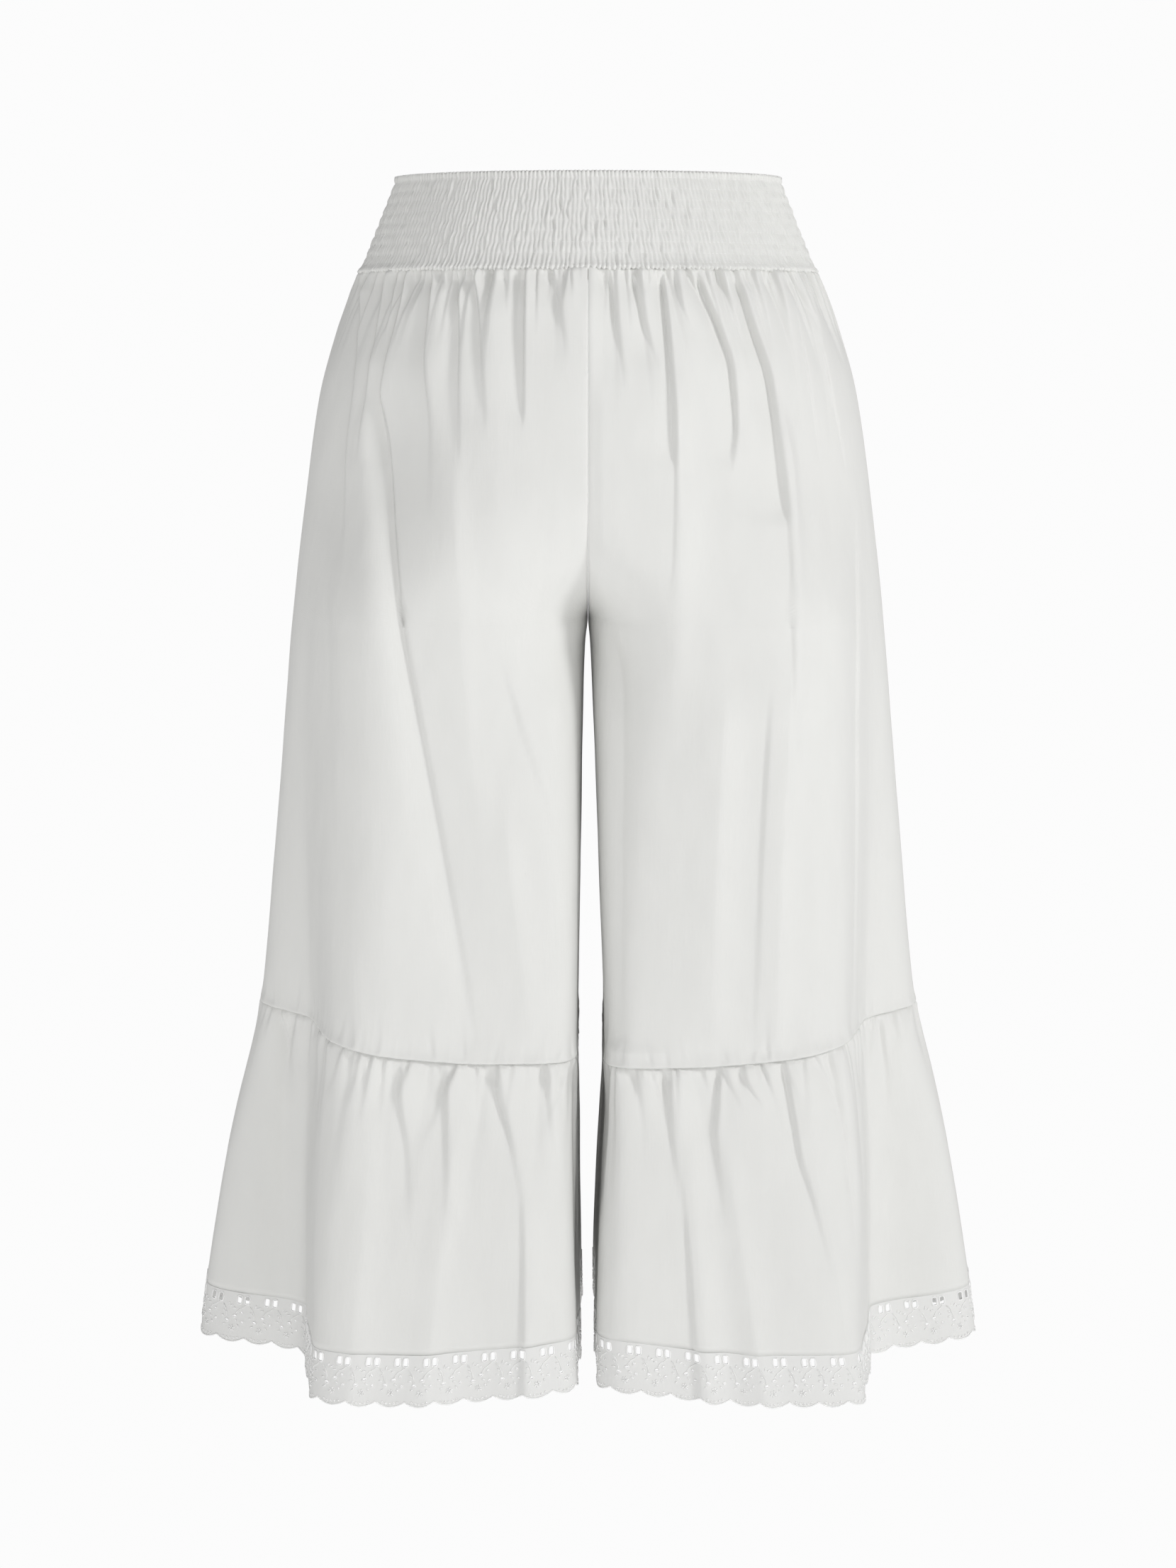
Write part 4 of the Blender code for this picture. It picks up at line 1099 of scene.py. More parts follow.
@dataclass
class LegPanel:
    """One leg's front or back, gathered into the waistband and sewn to the flounce."""

    form: LegForm
    thickness: float = 0.0006
    columns: dict[Face, int] = field(default_factory=lambda: {Face.FRONT: 379, Face.BACK: 165})
    upper_rows: tuple[tuple[float, float], ...] = (
        (-0.036, 0.0010), (-0.044, 0.0014), (-0.075, 0.0030), (-0.150, 0.0050),
        (-0.270, 0.0056), (-0.292, 0.0030), (-0.3005, 0.0010), (-0.3040, 0.0003), (-0.305, 0.0001),
    )
    lower_rows: tuple[tuple[float, float], ...] = (
        (0.0, 0.003), (0.03, 0.010), (0.10, 0.024), (0.88, 0.026), (0.97, 0.008), (1.0, 0.004),
    )
    edge_columns: tuple[float, ...] = (0.0, 0.0012, 0.0026, 0.0046, 0.0075, 0.0115)
    fork_reach: float = 0.010
    gather_drop: float = 0.010
    tuck_inset: float = 0.0014
    tuck_start: float = 0.0004
    tuck_ease: float = 0.0022
    puff: float = 0.0026
    puff_start: float = 0.003
    puff_drop: float = 0.026
    calm_at_inseam: float = 0.012
    calm_at_side: float = 0.010
    seam_dip: float = 0.0011
    seam_dip_reach: float = 0.0013
    lower_edge_rise: float = 0.0006
    lower_edge_reach: float = 0.005
    still_ends: float = 0.030
    ripple: float = 0.0006
    ripple_turns: float = 150.0
    ripple_reach: float = 0.014
    pucker_level: float = -0.63
    pucker_ease: float = 0.002
    unevenness: float = 0.0006
    unevenness_size: float = 0.045

    @property
    def name(self) -> str:
        """The name of the solid that this panel stands for."""
        return f"{self.form.face.value}_panel_{self.form.side.value}"

    @staticmethod
    def gathers(seed: int, lean: float) -> tuple[Gathers, ...]:
        """Lists the runs of gathers under the waistband, from the finest to the longest.

        Args:
            seed: The panel's own seed.
            lean: The way that the folds lean.

        Returns:
            The runs.
        """
        return (
            Gathers((3.2, 6.4), (6, 22), (1.0, 2.5), (1.1, 1.8), 100 + seed, 0.3 * lean, 0.14),
            Gathers((7, 16), (22, 75), (2.8, 6.0), (2.2, 3.8), 200 + seed, 0.8 * lean, 0.10),
            Gathers((16, 34), (70, 170), (2.4, 5.0), (4.0, 7.5), 300 + seed, 0.8 * lean, 0.05),
        )

    @staticmethod
    def puckers(seed: int, lean: float) -> Gathers:
        """Gives the puckers that rise from the flounce seam.

        Args:
            seed: The panel's own seed.
            lean: The way that the folds lean.

        Returns:
            The run of puckers.
        """
        return Gathers((10, 30), (12, 45), (0.7, 1.8), (1.8, 3.6), 700 + seed, 0.7 * lean, 0.22)

    def shares(self) -> np.ndarray:
        """Gives the columns, closest together at the seams."""
        edge = np.array(self.edge_columns)
        inside = np.linspace(edge[-1], 1 - edge[-1], self.columns[self.form.face])[1:-1]
        return np.concatenate([edge, inside, 1 - edge[::-1]])

    def lift(self, share: np.ndarray, height: np.ndarray, seam: np.ndarray, base: np.ndarray) -> np.ndarray:
        """Works out how far the panel's cloth stands out from its form.

        Args:
            share: Shares of the way from the inseam to the side seam.
            height: Heights.
            seam: The height of the flounce seam below each place.
            base: The places on the form.

        Returns:
            The distance out.
        """
        below = np.maximum(WAIST_SEAM - height, 0.0)
        from_inseam = share * self.form.line_length(height)
        from_side = (1 - share) * self.form.line_length(height)
        seed = 1 + 2 * (self.form.side is Side.LEFT) + 5 * (self.form.face is Face.BACK)
        lean = -1.0 if self.form.side is Side.RIGHT else 1.0
        lift = self.puff * np.exp(-((below / self.puff_drop) ** 2)) * np.minimum(below / self.puff_start, 1.0)
        for crease in PANEL_CREASES[(self.form.side, self.form.face)]:
            lift = lift + crease.lift(self.form, share, height, False)
        run = share[0] * float(self.form.line_length(WAIST_SEAM - self.gather_drop))
        for gathers in self.gathers(seed, lean):
            lift = lift + gathers.lift(run, below)
        lift = lift - self.tuck_inset * (1 - eased((WAIST_SEAM + self.tuck_start - height) / self.tuck_ease))
        calm = eased(from_inseam / self.calm_at_inseam) * eased(from_side / self.calm_at_side)
        lift = lift * np.where(below > 0, calm, 1.0)
        lift = lift + drape_noise(base, self.unevenness_size, self.unevenness) * calm
        above = np.maximum(height - seam, 0.0)
        away = eased(from_inseam / self.still_ends) * eased(from_side / self.still_ends)
        lift = lift + self.lower_edge_rise * np.exp(-((above / self.lower_edge_reach) ** 2)) * away
        ripple = 0.35 + 0.65 * wander(self.ripple_turns * share, seed + 7)
        lift = lift + self.ripple * ripple * np.exp(-((above / self.ripple_reach) ** 1.5)) * calm
        lower_run = share[0] * float(self.form.line_length(self.pucker_level))
        puckers = self.puckers(seed, lean).lift(lower_run, above)
        lift = lift + puckers * away * np.exp(-((self.pucker_ease / np.maximum(above, 0.0005)) ** 2))
        dip = np.exp(-((from_inseam / self.seam_dip_reach) ** 1.3))
        dip = dip + np.exp(-((from_side / self.seam_dip_reach) ** 1.3))
        return lift - self.seam_dip * dip

    def build(self, finish: bpy.types.Material) -> bpy.types.Object:
        """Makes the panel.

        Args:
            finish: Its material.

        Returns:
            The piece.
        """
        form = self.form
        share_line = self.shares()
        seam_line = seam_height(form.side, "flounce_seam", share_line)
        upper = crowded(self.upper_rows)
        lower_drop = crowded(self.lower_rows)[1:, None]
        heights = np.concatenate([
            np.broadcast_to(upper[:, None], (len(upper), len(share_line))),
            CROTCH + (seam_line - CROTCH) * lower_drop,
        ])
        share = np.broadcast_to(share_line, heights.shape)
        base = form.point(share, heights)
        normal = form.outward(share, heights)
        normal[..., 2] *= np.exp(-((share * form.line_length(heights) / self.fork_reach) ** 2))
        for row in (0, -1):
            normal[row, :, 2] = 0.0
        # The inseam is a hard edge: level at the centre seam, slanting at the crotch itself.
        corner = len(upper) - 1
        across = 1.0 if form.side is Side.RIGHT else -1.0
        normal[:corner, 0, 0] = 0.0
        normal[corner, 0] = (0.5 * across, 0.0, -0.87)
        normal[corner + 1 :, 0] = (across, 0.0, 0.0)
        normal /= np.linalg.norm(normal, axis=-1, keepdims=True)
        lift = self.lift(share, heights, seam_line[None, :], base)
        measure = np.stack([share * form.line_length(heights), heights, np.zeros_like(heights)], axis=-1)
        skin = Skin(base, normal, lift, measure)
        piece = skin.shell(f"cotton_{self.name}", self.thickness, False, form.keep_to_side)
        finish_piece(piece, finish, [self.name])
        return piece


@dataclass
class Flounce:
    """One leg's flounce: a tube gathered onto the panels, and the form of the trim below."""

    forms: dict[Face, LegForm]
    thickness: float = 0.0006
    columns: dict[Face, int] = field(default_factory=lambda: {Face.FRONT: 320, Face.BACK: 150})
    rows: tuple[tuple[float, float], ...] = ((0.0, 0.005), (0.06, 0.008), (0.25, 0.018), (1.0, 0.022))
    tuck: float = 0.0020
    tuck_inset: float = 0.0009
    tuck_start: float = 0.0002
    tuck_ease: float = 0.0022
    puff: float = 0.0022
    puff_start: float = 0.004
    puff_drop: float = 0.030
    least_puff: float = 0.20
    least_wave: float = 0.12
    wave: float = 0.0030
    wave_ease: float = 1.3
    waves: float = 6.0
    wave_drift: float = 0.35
    wave_drift_rate: float = 5.1
    wave_start: tuple[float, float] = (0.7, 2.3)
    inseam_calm: float = 0.22
    side_calm: float = 0.06
    gather_level: float = -0.64
    girth_level: float = -0.75
    unevenness: float = 0.0006
    unevenness_size: float = 0.040
    unevenness_ease: float = 0.02

    @property
    def side(self) -> Side:
        """The leg that the flounce is on."""
        return self.forms[Face.FRONT].side

    def lift(self, face: Face, share: np.ndarray, height: np.ndarray) -> np.ndarray:
        """Works out how far the flounce, or the trim below it, stands out from its form.

        Args:
            face: The front or the back of the leg.
            share: Shares of the way from the inseam to the side seam.
            height: Heights.

        Returns:
            The distance out.
        """
        form = self.forms[face]
        seam = seam_height(self.side, "flounce_seam", share)
        hem = seam_height(self.side, "hem", share)
        seed = 11.0 + 3.0 * (self.side is Side.LEFT) + 7.0 * (face is Face.BACK)
        drop = np.clip((seam - height) / (seam - hem), 0.0, 1.0)
        below = np.maximum(seam - height, 0.0)
        start = self.wave_start[0] if face is Face.FRONT else self.wave_start[1]
        drift = self.wave_drift * np.sin(self.wave_drift_rate * share + start)
        lift = self.wave * np.cos(2 * math.pi * (self.waves * share + drift)) * drop**self.wave_ease
        for crease in FLOUNCE_CREASES[(self.side, face)]:
            lift = lift + crease.lift(form, share, height, True)
        ends = np.minimum(share / self.inseam_calm, 1.0) * np.minimum((1 - share) / self.side_calm, 1.0)
        near = self.puff * np.exp(-((below / self.puff_drop) ** 2)) * np.minimum(below / self.puff_start, 1.0)
        waved = lift * (self.least_wave + (1 - self.least_wave) * ends)
        return waved + near * (self.least_puff + (1 - self.least_puff) * ends)

    def gather(self, face: Face, share_line: np.ndarray, below: np.ndarray) -> np.ndarray:
        """Works out how far the gathers under the seam move the cloth outwards.

        Args:
            face: The front or the back of the leg.
            share_line: For each column, its share of the way from the inseam to the side seam.
            below: For each place on the grid, its distance below the seam.

        Returns:
            The distance out.
        """
        lean = -1.0 if self.side is Side.RIGHT else 1.0
        seed = 11 + 3 * (self.side is Side.LEFT) + 7 * (face is Face.BACK)
        runs = (
            Gathers((3.6, 7.0), (6, 22), (0.9, 2.1), (1.2, 1.8), 400 + seed, 0.3 * lean, 0.18),
            Gathers((9, 20), (24, 70), (2.0, 4.2), (2.4, 4.0), 500 + seed, 0.7 * lean, 0.16),
            Gathers((24, 48), (80, 220), (1.8, 3.6), (6, 11), 600 + seed, 0.6 * lean, 0.06),
        )
        run = share_line * float(self.forms[face].line_length(self.gather_level))
        found = np.zeros(below.shape)
        for gathers in runs:
            if share_line[0] < share_line[-1]:
                found = found + gathers.lift(run, below)
            else:
                found = found + gathers.lift(run[::-1], below[:, ::-1])[:, ::-1]
        return found

    def build(self, finish: bpy.types.Material) -> bpy.types.Object:
        """Makes the flounce.

        Args:
            finish: Its material.

        Returns:
            The piece.
        """
        base, normal, lift, measure = [], [], [], []
        front_share = np.linspace(0.0, 1.0, self.columns[Face.FRONT] + 1)
        back_share = np.linspace(1.0, 0.0, self.columns[Face.BACK] + 1)[1:-1]
        run = 0.0
        for face, share_line in ((Face.FRONT, front_share), (Face.BACK, back_share)):
            form = self.forms[face]
            seam = seam_height(self.side, "flounce_seam", share_line) + self.tuck
            end = seam_height(self.side, "hem", share_line) + TRIM_HEIGHT
            down = crowded(self.rows)[:, None]
            heights = seam + (end - seam) * down
            share = np.broadcast_to(share_line, heights.shape)
            place = form.point(share, heights)
            out = form.outward(share, heights)
            for row in (0, -1):
                out[row, :, 2] = 0.0
            out /= np.linalg.norm(out, axis=-1, keepdims=True)
            seam_below = seam - self.tuck
            rise = self.lift(face, share, heights)
            rise = rise + self.gather(face, share_line, np.maximum(seam_below - heights, 0.0))
            tucked = 1 - eased((seam_below + self.tuck_start - heights) / self.tuck_ease)
            rise = rise - self.tuck_inset * tucked
            uneven = drape_noise(place, self.unevenness_size, self.unevenness)
            rise = rise + uneven * eased((seam_below - heights) / self.unevenness_ease)
            length = float(form.line_length(self.girth_level))
            along = run + (share if face is Face.FRONT else 1 - share) * length
            run += length
            base.append(place)
            normal.append(out)
            lift.append(rise)
            measure.append(np.stack([along, heights, np.zeros_like(heights)], axis=-1))
        skin = Skin(*(np.concatenate(part, axis=1) for part in (base, normal, lift, measure)))
        piece = skin.shell(f"cotton_flounce_{self.side.value}", self.thickness, True)
        finish_piece(piece, finish, [f"flounce_{self.side.value}"])
        rests_on = [f"cotton_{face.value}_panel_{self.side.value}" for face in Face]
        return piece


@dataclass
class ShirredBand:
    """The elastic waistband: fine ridges pinched by rows of elastic thread."""

    ridges: int = 268
    columns_per_ridge: int = 5
    rows: int = 45
    thickness: float = 0.0007
    inset: float = 0.0022
    overhang: float = 0.0012
    header: float = 0.0050
    header_flare: float = 0.0012
    header_ruffle: float = 0.0006
    top_wave: float = 0.0007
    elastic_rows: int = 9
    lowest_elastic: float = 0.0030
    ridge_rise: float = 0.0018
    ridge_middle: float = 0.62
    ridge_roundness: float = 0.85
    deeper_at_sides: float = 0.6
    shallower_at_elastic: float = 0.50
    shift: float = 1.9
    shift_turns: float = 37.0
    drift: float = 2.2
    drift_turns: float = 7.0
    pinch: float = 0.0002
    pinch_above: float = 0.0012
    pinch_below: float = 0.0011
    puff: float = 0.0001
    lip_height: float = 0.0018
    lip_rise: float = 0.0020
    lip_reach: float = 0.0032
    lip_inset: float = 0.0011
    lip_ease: float = 0.0012
    low_ruffle: float = 0.0015
    low_wander: float = 0.0006
    low_turns: float = 23.0
    low_reach: float = 0.002
    thread_rise: float = 0.00005
    cut_length: float = 1.45
    cut_height: float = 0.076
    girth: float = 0.96
    tucks: int = 620
    tuck_depth: float = 0.0010
    tuck_width: float = 0.0010
    tuck_length: tuple[float, float] = (0.0045, 0.0105)
    tuck_slant: tuple[float, float] = (0.12, 0.22)
    tuck_reach: float = 0.0045
    seed: int = 7
    turns: np.ndarray = field(init=False)
    angles: np.ndarray = field(init=False)

    def __post_init__(self) -> None:
        """Spaces the columns evenly along the band."""
        self.turns = np.arange(self.ridges * self.columns_per_ridge) / (self.ridges * self.columns_per_ridge)
        fine = np.linspace(0.0, 2 * math.pi, 4001)
        ring = self.ring(fine, np.array(0.0), np.zeros(1))
        run = np.concatenate([[0.0], np.cumsum(np.linalg.norm(np.diff(ring[:, :2], axis=0), axis=1))])
        self.angles = np.interp(self.turns * run[-1], run, fine)

    def ring(self, angle: np.ndarray, height: np.ndarray, out: np.ndarray) -> np.ndarray:
        """Gives points of the oval ring.

        Args:
            angle: Angles round it.
            height: Heights.
            out: Distance out from the form.

        Returns:
            The points.
        """
        squareness = column(SECTIONS, "outer_square", height)
        half_width = column(SECTIONS, "half_width", height) + out
        front = column(SECTIONS, "front", height)
        back = column(SECTIONS, "back", height)
        depth = np.where(np.sin(angle) < 0, front, back) + out
        x = half_width * np.sign(np.cos(angle)) * np.abs(np.cos(angle)) ** (2 / squareness)
        y = depth * np.sign(np.sin(angle)) * np.abs(np.sin(angle)) ** (2 / squareness)
        return np.stack([x, y, np.broadcast_to(height, x.shape)], axis=-1)

    def elastic_heights(self) -> np.ndarray:
        """Gives the heights of the rows of elastic, from the top."""
        return np.linspace(WAIST_TOP - self.header, WAIST_SEAM + self.lowest_elastic, self.elastic_rows)

    def ridge_pattern(self, height: np.ndarray) -> np.ndarray:
        """Draws the ridges: 0 in a valley and 1 on a crest.

        Args:
            height: The height of each row.

        Returns:
            A grid of rows by columns.
        """
        rows = self.elastic_heights()
        band = (rows[0] - height) / (rows[0] - rows[1])
        around = 2 * math.pi * self.turns
        count = self.elastic_rows + 2
        shifts = np.array([self.shift * wander(self.shift_turns * around, 2.0 * row) for row in range(count)])
        place = np.clip(band + 1.0, 0.0, self.elastic_rows + 0.999)
        low = place.astype(int)
        part = eased(place - low)[:, None]
        drift = shifts[low] * (1 - part) + shifts[np.minimum(low + 1, len(shifts) - 1)] * part
        phase = self.ridges * around[None, :] + drift
        phase = phase + self.drift * wander(self.drift_turns * around, 5.0)[None, :]
        return np.abs(np.sin(phase / 2)) ** self.ridge_roundness

    def scatter_tucks(self, lift: np.ndarray, height: np.ndarray) -> None:
        """Presses short, slanting tucks into the band, here and there.

        Args:
            lift: The distance out, changed in place.
            height: The height of each row.
        """
        random = np.random.default_rng(self.seed)
        columns = len(self.turns)
        spacing = self.girth / columns
        reach = int(self.tuck_reach / spacing)
        near = np.arange(-reach, reach + 1)
        for _ in range(self.tucks):
            turn = random.random()
            middle = random.uniform(WAIST_SEAM + 0.004, WAIST_TOP - self.header - 0.002)
            length = random.uniform(*self.tuck_length)
            slant = random.normal(*self.tuck_slant)
            depth = self.tuck_depth * random.uniform(0.35, 1.0)
            width = self.tuck_width * random.uniform(0.8, 1.5)
            run = (height - middle) / length
            rows = np.flatnonzero(np.abs(run) < 1)
            if not len(rows):
                continue
            picked = (int(turn * columns) + near) % columns
            away = near[None, :] * self.girth / columns + slant * (height[rows] - middle)[:, None]
            trough = np.exp(-((away / width) ** 2)) - 0.45 * np.exp(-(((away - 2.2 * width) / width) ** 2))
            lift[np.ix_(rows, picked)] -= depth * (1 - run[rows, None] ** 2) * trough

    def lift(self, height: np.ndarray, ridge: np.ndarray) -> np.ndarray:
        """Works out how far the band's cloth stands out from its form.

        Args:
            height: The height of each row.
            ridge: The ridges, 0 in a valley and 1 on a crest.

        Returns:
            The distance out.
        """
        rows = self.elastic_heights()
        band = (rows[0] - height) / (rows[0] - rows[1])
        heading = np.exp(-(((height - rows[0]) / self.pinch_above) ** 2))
        pinched = np.where(band > 0, np.cos(math.pi * band) ** 6, heading)
        hem = np.exp(-(((height - rows[-1]) / self.pinch_below) ** 2))
        pinched = np.where(height < rows[-1], hem, pinched)
        around = 2 * math.pi * self.turns[None, :]
        strength = 0.85 + 0.40 * wander(67 * around + 1.1 * band[:, None], 3.0)
        strength = strength * (1 - self.shallower_at_elastic * pinched[:, None])
        sideways = 1.0 + self.deeper_at_sides * np.cos(self.angles[None, :]) ** 2
        lift = self.ridge_rise * sideways * strength * (ridge - self.ridge_middle)
        lift = lift + (self.puff * (1 - pinched) - self.pinch * pinched)[:, None]
        above = self.above_elastic(height)
        lift = lift + self.header_flare * above + self.header_ruffle * above * (ridge - 0.5)
        self.scatter_tucks(lift, height)
        from_bottom = self.from_bottom(height)
        lip = np.exp(-(((from_bottom - self.lip_height) / self.lip_reach) ** 2))
        lift = lift + self.lip_rise * lip * (0.55 + 0.65 * ridge)
        return lift - self.lip_inset * (1 - eased(from_bottom / self.lip_ease))

    def above_elastic(self, height: np.ndarray) -> np.ndarray:
        """Gives each row's share of the way up the heading, as a column."""
        return np.clip((height - (WAIST_TOP - self.header)) / self.header, 0.0, 1.0)[:, None]

    def from_bottom(self, height: np.ndarray) -> np.ndarray:
        """Gives each row's distance from the band's lower edge, as a column."""
        return np.maximum(height - (WAIST_SEAM - self.overhang), 0.0)[:, None]

    def build(self, finish: bpy.types.Material, thread: bpy.types.Material) -> bpy.types.Object:
        """Makes the band and its rows of stitches.

        Args:
            finish: The cotton, painted a little lighter than the legs' cotton to lift the shade that the
                band's ridges cast.
            thread: The sewing thread.

        Returns:
            The band.
        """
        height = np.linspace(WAIST_TOP, WAIST_SEAM - self.overhang, self.rows)
        ridge = self.ridge_pattern(height)
        lift = self.lift(height, ridge)
        grid = np.broadcast_to(self.angles, lift.shape)
        level = np.broadcast_to(height[:, None], lift.shape)
        flat = np.zeros(lift.shape)
        base = self.ring(grid, level, flat - self.inset)
        base[..., 2] += self.top_wave * (ridge[0] - 0.5) * self.above_elastic(height)
        low_wave = self.low_ruffle * (0.4 - ridge[-1])
        low_wave = low_wave + self.low_wander * wander(self.low_turns * 2 * math.pi * self.turns, 4.0)
        base[..., 2] += low_wave * np.exp(-((self.from_bottom(height) / self.low_reach) ** 2))
        normal = self.ring(grid, level, flat + 1.0) - self.ring(grid, level, flat)
        normal[..., 2] = 0.0
        normal /= np.linalg.norm(normal, axis=-1, keepdims=True)
        along = np.broadcast_to(self.cut_length * self.turns, lift.shape)
        measure = np.stack([along, level, flat], axis=-1)
        piece = Skin(base, normal, lift, measure).shell("shirred_band", self.thickness, True)
        finish_piece(piece, finish, ["waistband"])
        lines = []
        for elastic in self.elastic_heights():
            row = int(np.argmin(np.abs(height - elastic)))
            lines.append(base[row] + normal[row] * (lift[row] + self.thread_rise)[:, None])
        stitches = StitchRows("elastic_stitches", tuple(lines)).build(thread)
        finish_piece(stitches, thread)
        return piece


def repeating_tree(
    name: str, inputs: dict[str, str], repeated: str, material: bpy.types.Material
) -> tuple[bpy.types.NodeTree, bpy.types.Node, bpy.types.Node]:
    """Builds nodes that repeat an object on points, still without their points.

    Args:
        name: The tree's name.
        inputs: The kind of each named input.
        repeated: The input that holds the object.
        material: The material of what comes out.

    Returns:
        The tree, the node of its inputs and the node that lays the repeats.
    """
    tree = bpy.data.node_groups.new(name, "GeometryNodeTree")
    for label, kind in inputs.items():
        tree.interface.new_socket(label, in_out="INPUT", socket_type=f"NodeSocket{kind}")
    tree.interface.new_socket("Geometry", in_out="OUTPUT", socket_type="NodeSocketGeometry")
    start = tree.nodes.new("NodeGroupInput")
    info = tree.nodes.new("GeometryNodeObjectInfo")
    placed = tree.nodes.new("GeometryNodeInstanceOnPoints")
    real = tree.nodes.new("GeometryNodeRealizeInstances")
    welded = tree.nodes.new("GeometryNodeMergeByDistance")
    welded.inputs["Distance"].default_value = WELD
    dressed = tree.nodes.new("GeometryNodeSetMaterial")
    dressed.inputs["Material"].default_value = material
    wire(
        tree,
        (start, repeated, info, "Object"),
        (info, "Geometry", placed, "Instance"),
        (placed, "Instances", real, "Geometry"),
        (real, "Geometry", welded, "Geometry"),
        (welded, "Geometry", dressed, "Geometry"),
        (dressed, "Geometry", tree.nodes.new("NodeGroupOutput"), "Geometry"),
    )
    return tree, start, placed


def wire(tree: bpy.types.NodeTree, *wires: tuple[bpy.types.Node, str, bpy.types.Node, str]) -> None:
    """Links nodes by the names of their sockets.

    Args:
        tree: The tree.
        wires: For each link a node, its output, the next node and its input.
    """
    for source, output, target, entry in wires:
        tree.links.new(source.outputs[output], target.inputs[entry])


@dataclass
class StitchRows:
    """Rows of small stitches along closed lines on the cloth."""

    name: str
    lines: tuple[np.ndarray, ...]
    pitch: float = 0.0040
    length: float = 0.0022
    width: float = 0.00045
    rise: float = 0.00022
    top_share: float = 0.55

    def stitch(self) -> bpy.types.Object:
        """Makes the one stitch that is repeated, a small six-sided bead along X.

        Returns:
            The stitch, not yet in the scene.
        """
        mesh = bpy.data.meshes.new(f"{self.name}_stitch")
        with edited(mesh) as work:
            bmesh.ops.create_cube(work, size=1.0)
            for vertex in work.verts:
                x, y, z = vertex.co
                taper = self.top_share if z > 0 else 1.0
                vertex.co = (x * self.length * taper, y * self.width * taper, z * self.rise)
        return bpy.data.objects.new(mesh.name, mesh)

    def tree(self, thread: bpy.types.Material) -> bpy.types.NodeTree:
        """Builds the nodes that lay stitches along the edges of a mesh.

        Args:
            thread: The thread's material.

        Returns:
            The tree, with the inputs Geometry, Stitch and Pitch.
        """
        inputs = {"Geometry": "Geometry", "Stitch": "Object", "Pitch": "Float"}
        tree, start, placed = repeating_tree(self.name, inputs, "Stitch", thread)
        curve = tree.nodes.new("GeometryNodeMeshToCurve")
        spaced = tree.nodes.new("GeometryNodeResampleCurve")
        spaced.mode = "LENGTH"
        tangent = tree.nodes.new("GeometryNodeInputTangent")
        aligned = tree.nodes.new("FunctionNodeAlignRotationToVector")
        aligned.axis = "X"
        wire(
            tree,
            (start, "Geometry", curve, "Mesh"),
            (curve, "Curve", spaced, "Curve"),
            (start, "Pitch", spaced, "Length"),
            (spaced, "Curve", placed, "Points"),
            (tangent, "Tangent", aligned, "Vector"),
            (aligned, "Rotation", placed, "Rotation"),
        )
        return tree

    def build(self, thread: bpy.types.Material) -> bpy.types.Object:
        """Makes the stitches.

        Args:
            thread: The thread's material.

        Returns:
            One plain mesh object that holds them all.
        """
        edges = []
        first = 0
        for line in self.lines:
            edges += [(first + place, first + (place + 1) % len(line)) for place in range(len(line))]
            first += len(line)
        mesh = bpy.data.meshes.new(f"{self.name}_line")
        mesh.from_pydata(np.concatenate(self.lines).tolist(), edges, [])
        return grown(self.name, mesh, self.tree(thread), {"Stitch": self.stitch(), "Pitch": self.pitch})


def grown(
    name: str, mesh: bpy.types.Mesh, tree: bpy.types.NodeTree, inputs: dict[str, object]
) -> bpy.types.Object:
    """Grows a plain mesh object from a mesh and a node tree.

    Args:
        name: The new object's name.
        mesh: The mesh that the tree starts from.
        tree: The tree.
        inputs: The tree's named inputs.

    Returns:
        The new object. The starting object, its modifier and the repeated object are removed.
    """
    start = linked(f"{name}_start", mesh)
    modifier = start.modifiers.new(name, "NODES")
    modifier.node_group = tree
    repeated = []
    for item in tree.interface.items_tree:
        if item.in_out == "INPUT" and item.name in inputs:
            value = inputs[item.name]
            modifier[item.identifier] = value
            if isinstance(value, bpy.types.Object):
                bpy.context.scene.collection.objects.link(value)
                repeated.append(value)
    plain = carried_out(start)
    plain.name = name
    start.modifiers.remove(modifier)
    bpy.data.objects.remove(start)
    for item in repeated:
        bpy.data.objects.remove(item)
    return linked(name, plain)


class Eyelet(NamedTuple):
    """One oval hole of the trim, measured from the scallop's tip and the top, in millimetres."""

    across: float
    down: float
    wide: float
    tall: float
    tilt: float
    steps: int
    satin: float


EYELETS = (
    Eyelet(-4.6, 22.6, 2.9, 2.0, -0.25, 10, 0.8),
    Eyelet(1.4, 18.6, 2.9, 1.9, 0.15, 10, 0.8),
    Eyelet(6.6, 15.6, 1.7, 1.7, 0.0, 9, 0.55),
    Eyelet(7.9, 23.0, 1.9, 1.6, 0.4, 9, 0.55),
)


class Leaf(NamedTuple):
    """One stitched leaf of the trim, measured as an eyelet is."""

    across: float
    down: float
    turn: float
    length: float


LEAVES = (
    Leaf(-2.2, 10.6, 0.5, 2.6),
    Leaf(-4.6, 9.6, 1.3, 2.4),
    Leaf(0.4, 12.2, 0.1, 2.4),
    Leaf(-7.8, 15.4, 2.5, 2.4),
    Leaf(-8.4, 19.4, 2.9, 2.2),
    Leaf(3.2, 22.0, -0.5, 2.2),
    Leaf(5.0, 26.2, -0.9, 2.2),
    Leaf(-6.4, 26.0, 3.6, 2.2),
)
STEMS = (
    ((9.6, 9.2), (7.4, 11.2), (4.2, 13.2), (2.6, 15.4), (2.2, 17.0)),
    ((-9.4, 10.2), (-6.6, 13.6), (-5.2, 17.4), (-4.8, 20.6)),
)


class Outline(NamedTuple):
    """A closed line in the flat trim, with the width of the satin stitch round it."""

    points: list[tuple[float, float]]
    satin: float


